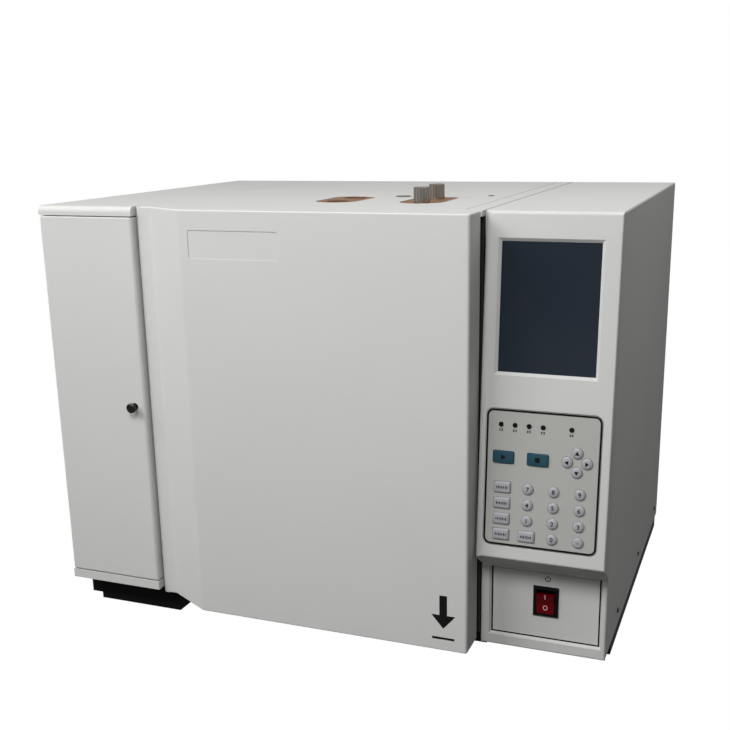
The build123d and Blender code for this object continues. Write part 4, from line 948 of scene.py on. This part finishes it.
def studio_floor():
    """Pale floor that keeps a soft shadow and reads as white from the camera."""
    ground = bpy.data.meshes.new("studio_floor")
    reach = 6.0
    corners = [(-reach, -reach, 0), (reach, -reach, 0), (reach, reach, 0), (-reach, reach, 0)]
    ground.from_pydata(corners, [], [(0, 1, 2, 3)])
    floor = bpy.data.objects.new("studio_floor", ground)
    bpy.context.scene.collection.objects.link(floor)
    paper = Finish("studio paper", Roughness=0.9, Specular_IOR_Level=0.0)
    cloud = paper.noise(2.0)
    paper.set(Base_Color=paper.mix(cloud, (0.035, 0.035, 0.035), (0.04, 0.04, 0.04)))
    lit = Wire(paper, paper.shader.outputs[0])
    glow = paper.add("ShaderNodeEmission", {}, (1.0, 1.0, 1.0), 1.135)
    blend = paper.add("ShaderNodeMixShader", {}, background_share(paper) * 0.88, lit, glow)
    paper.join(blend, paper.tree.nodes["Material Output"].inputs["Surface"])
    ground.materials.append(paper.material)
    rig.stage(floor)


def studio_world(level):
    """Even sky light, with plain white where the camera or a shiny surface sees it."""
    world = bpy.data.worlds.new("studio")
    bpy.context.scene.world = world
    sky = Shade(world)
    even = sky.add("ShaderNodeBackground", {}, (1.0, 1.0, 1.0), level)
    white = sky.add("ShaderNodeBackground", {}, (1.0, 1.0, 1.0), 1.0)
    blend = sky.add("ShaderNodeMixShader", {}, background_share(sky), even, white)
    sky.join(blend, sky.tree.nodes["World Output"].inputs["Surface"])


def softbox(name, at, towards, size, power):
    """Square soft light aimed at a point."""
    lamp = bpy.data.lights.new(name, "AREA")
    lamp.shape = "RECTANGLE"
    lamp.size, lamp.size_y = size
    lamp.energy = power
    light = bpy.data.objects.new(name, lamp)
    light.location = at
    light.rotation_euler = (Vector(towards) - Vector(at)).to_track_quat("-Z", "Y").to_euler()
    bpy.context.scene.collection.objects.link(light)


def studio_camera(at, azimuth, drop, roll, focal, centre):
    """Camera from its place, its aim in degrees, and its focal length and centre in pixels of the picture."""
    side, down, turn = radians(azimuth), radians(drop), radians(roll)
    forward = Vector((-sin(side) * cos(down), cos(side) * cos(down), -sin(down)))
    level = Vector((cos(side), sin(side), 0))
    upright = level.cross(forward)
    right = cos(turn) * level + sin(turn) * upright
    up = cos(turn) * upright - sin(turn) * level
    lens = bpy.data.cameras.new("studio_camera")
    camera = bpy.data.objects.new("studio_camera", lens)
    bpy.context.scene.collection.objects.link(camera)
    camera.matrix_world = Matrix.Translation(at) @ Matrix((right, up, -forward)).transposed().to_4x4()
    lens.sensor_width = 36.0
    lens.lens = focal / PICTURE * lens.sensor_width
    lens.shift_x = (PICTURE / 2 - centre[0]) / PICTURE
    lens.shift_y = (centre[1] - PICTURE / 2) / PICTURE
    lens.clip_start = 0.05
    bpy.context.scene.camera = camera


PICTURE = 730
studio_floor()
studio_world(0.02)
softbox("left", (-1.85, -1.05, 1.05), (0.0, -0.15, 0.25), (0.9, 0.7), 4)
softbox("key", (-1.10, -1.25, 1.60), (0.0, -0.15, 0.25), (1.3, 0.9), 28)
softbox("front", (0.20, -1.45, 1.55), (0.1, -0.15, 0.25), (0.5, 0.5), 19)
softbox("low", (0.35, -1.6, 0.16), (0.25, -0.2, 0.12), (0.9, 0.25), 1.6)
softbox("right", (0.64, 0.0, 1.05), (0.25, 0.0, 0.35), (0.5, 0.9), 2.5)
softbox("over", (-0.15, 0.1, 1.90), (-0.05, 0.0, 0.4), (1.0, 1.2), 2.6)
softbox("back", (-0.55, 1.9, 0.22), (0.0, 0.2, 0.25), (0.8, 0.35), 16)
studio_camera((0.43265, -1.1436, 0.5378), 21.34, 15.51, -1.03, 1057.0, (373.3, 411.9))

bpy.context.scene.view_settings.view_transform = "Standard"
with open("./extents.json") as sizes:
    boxes = json.load(sizes)
boxes["dressed"] = [list(corner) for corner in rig.bounds()]
with open("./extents.json", "w") as sizes:
    json.dump(boxes, sizes)
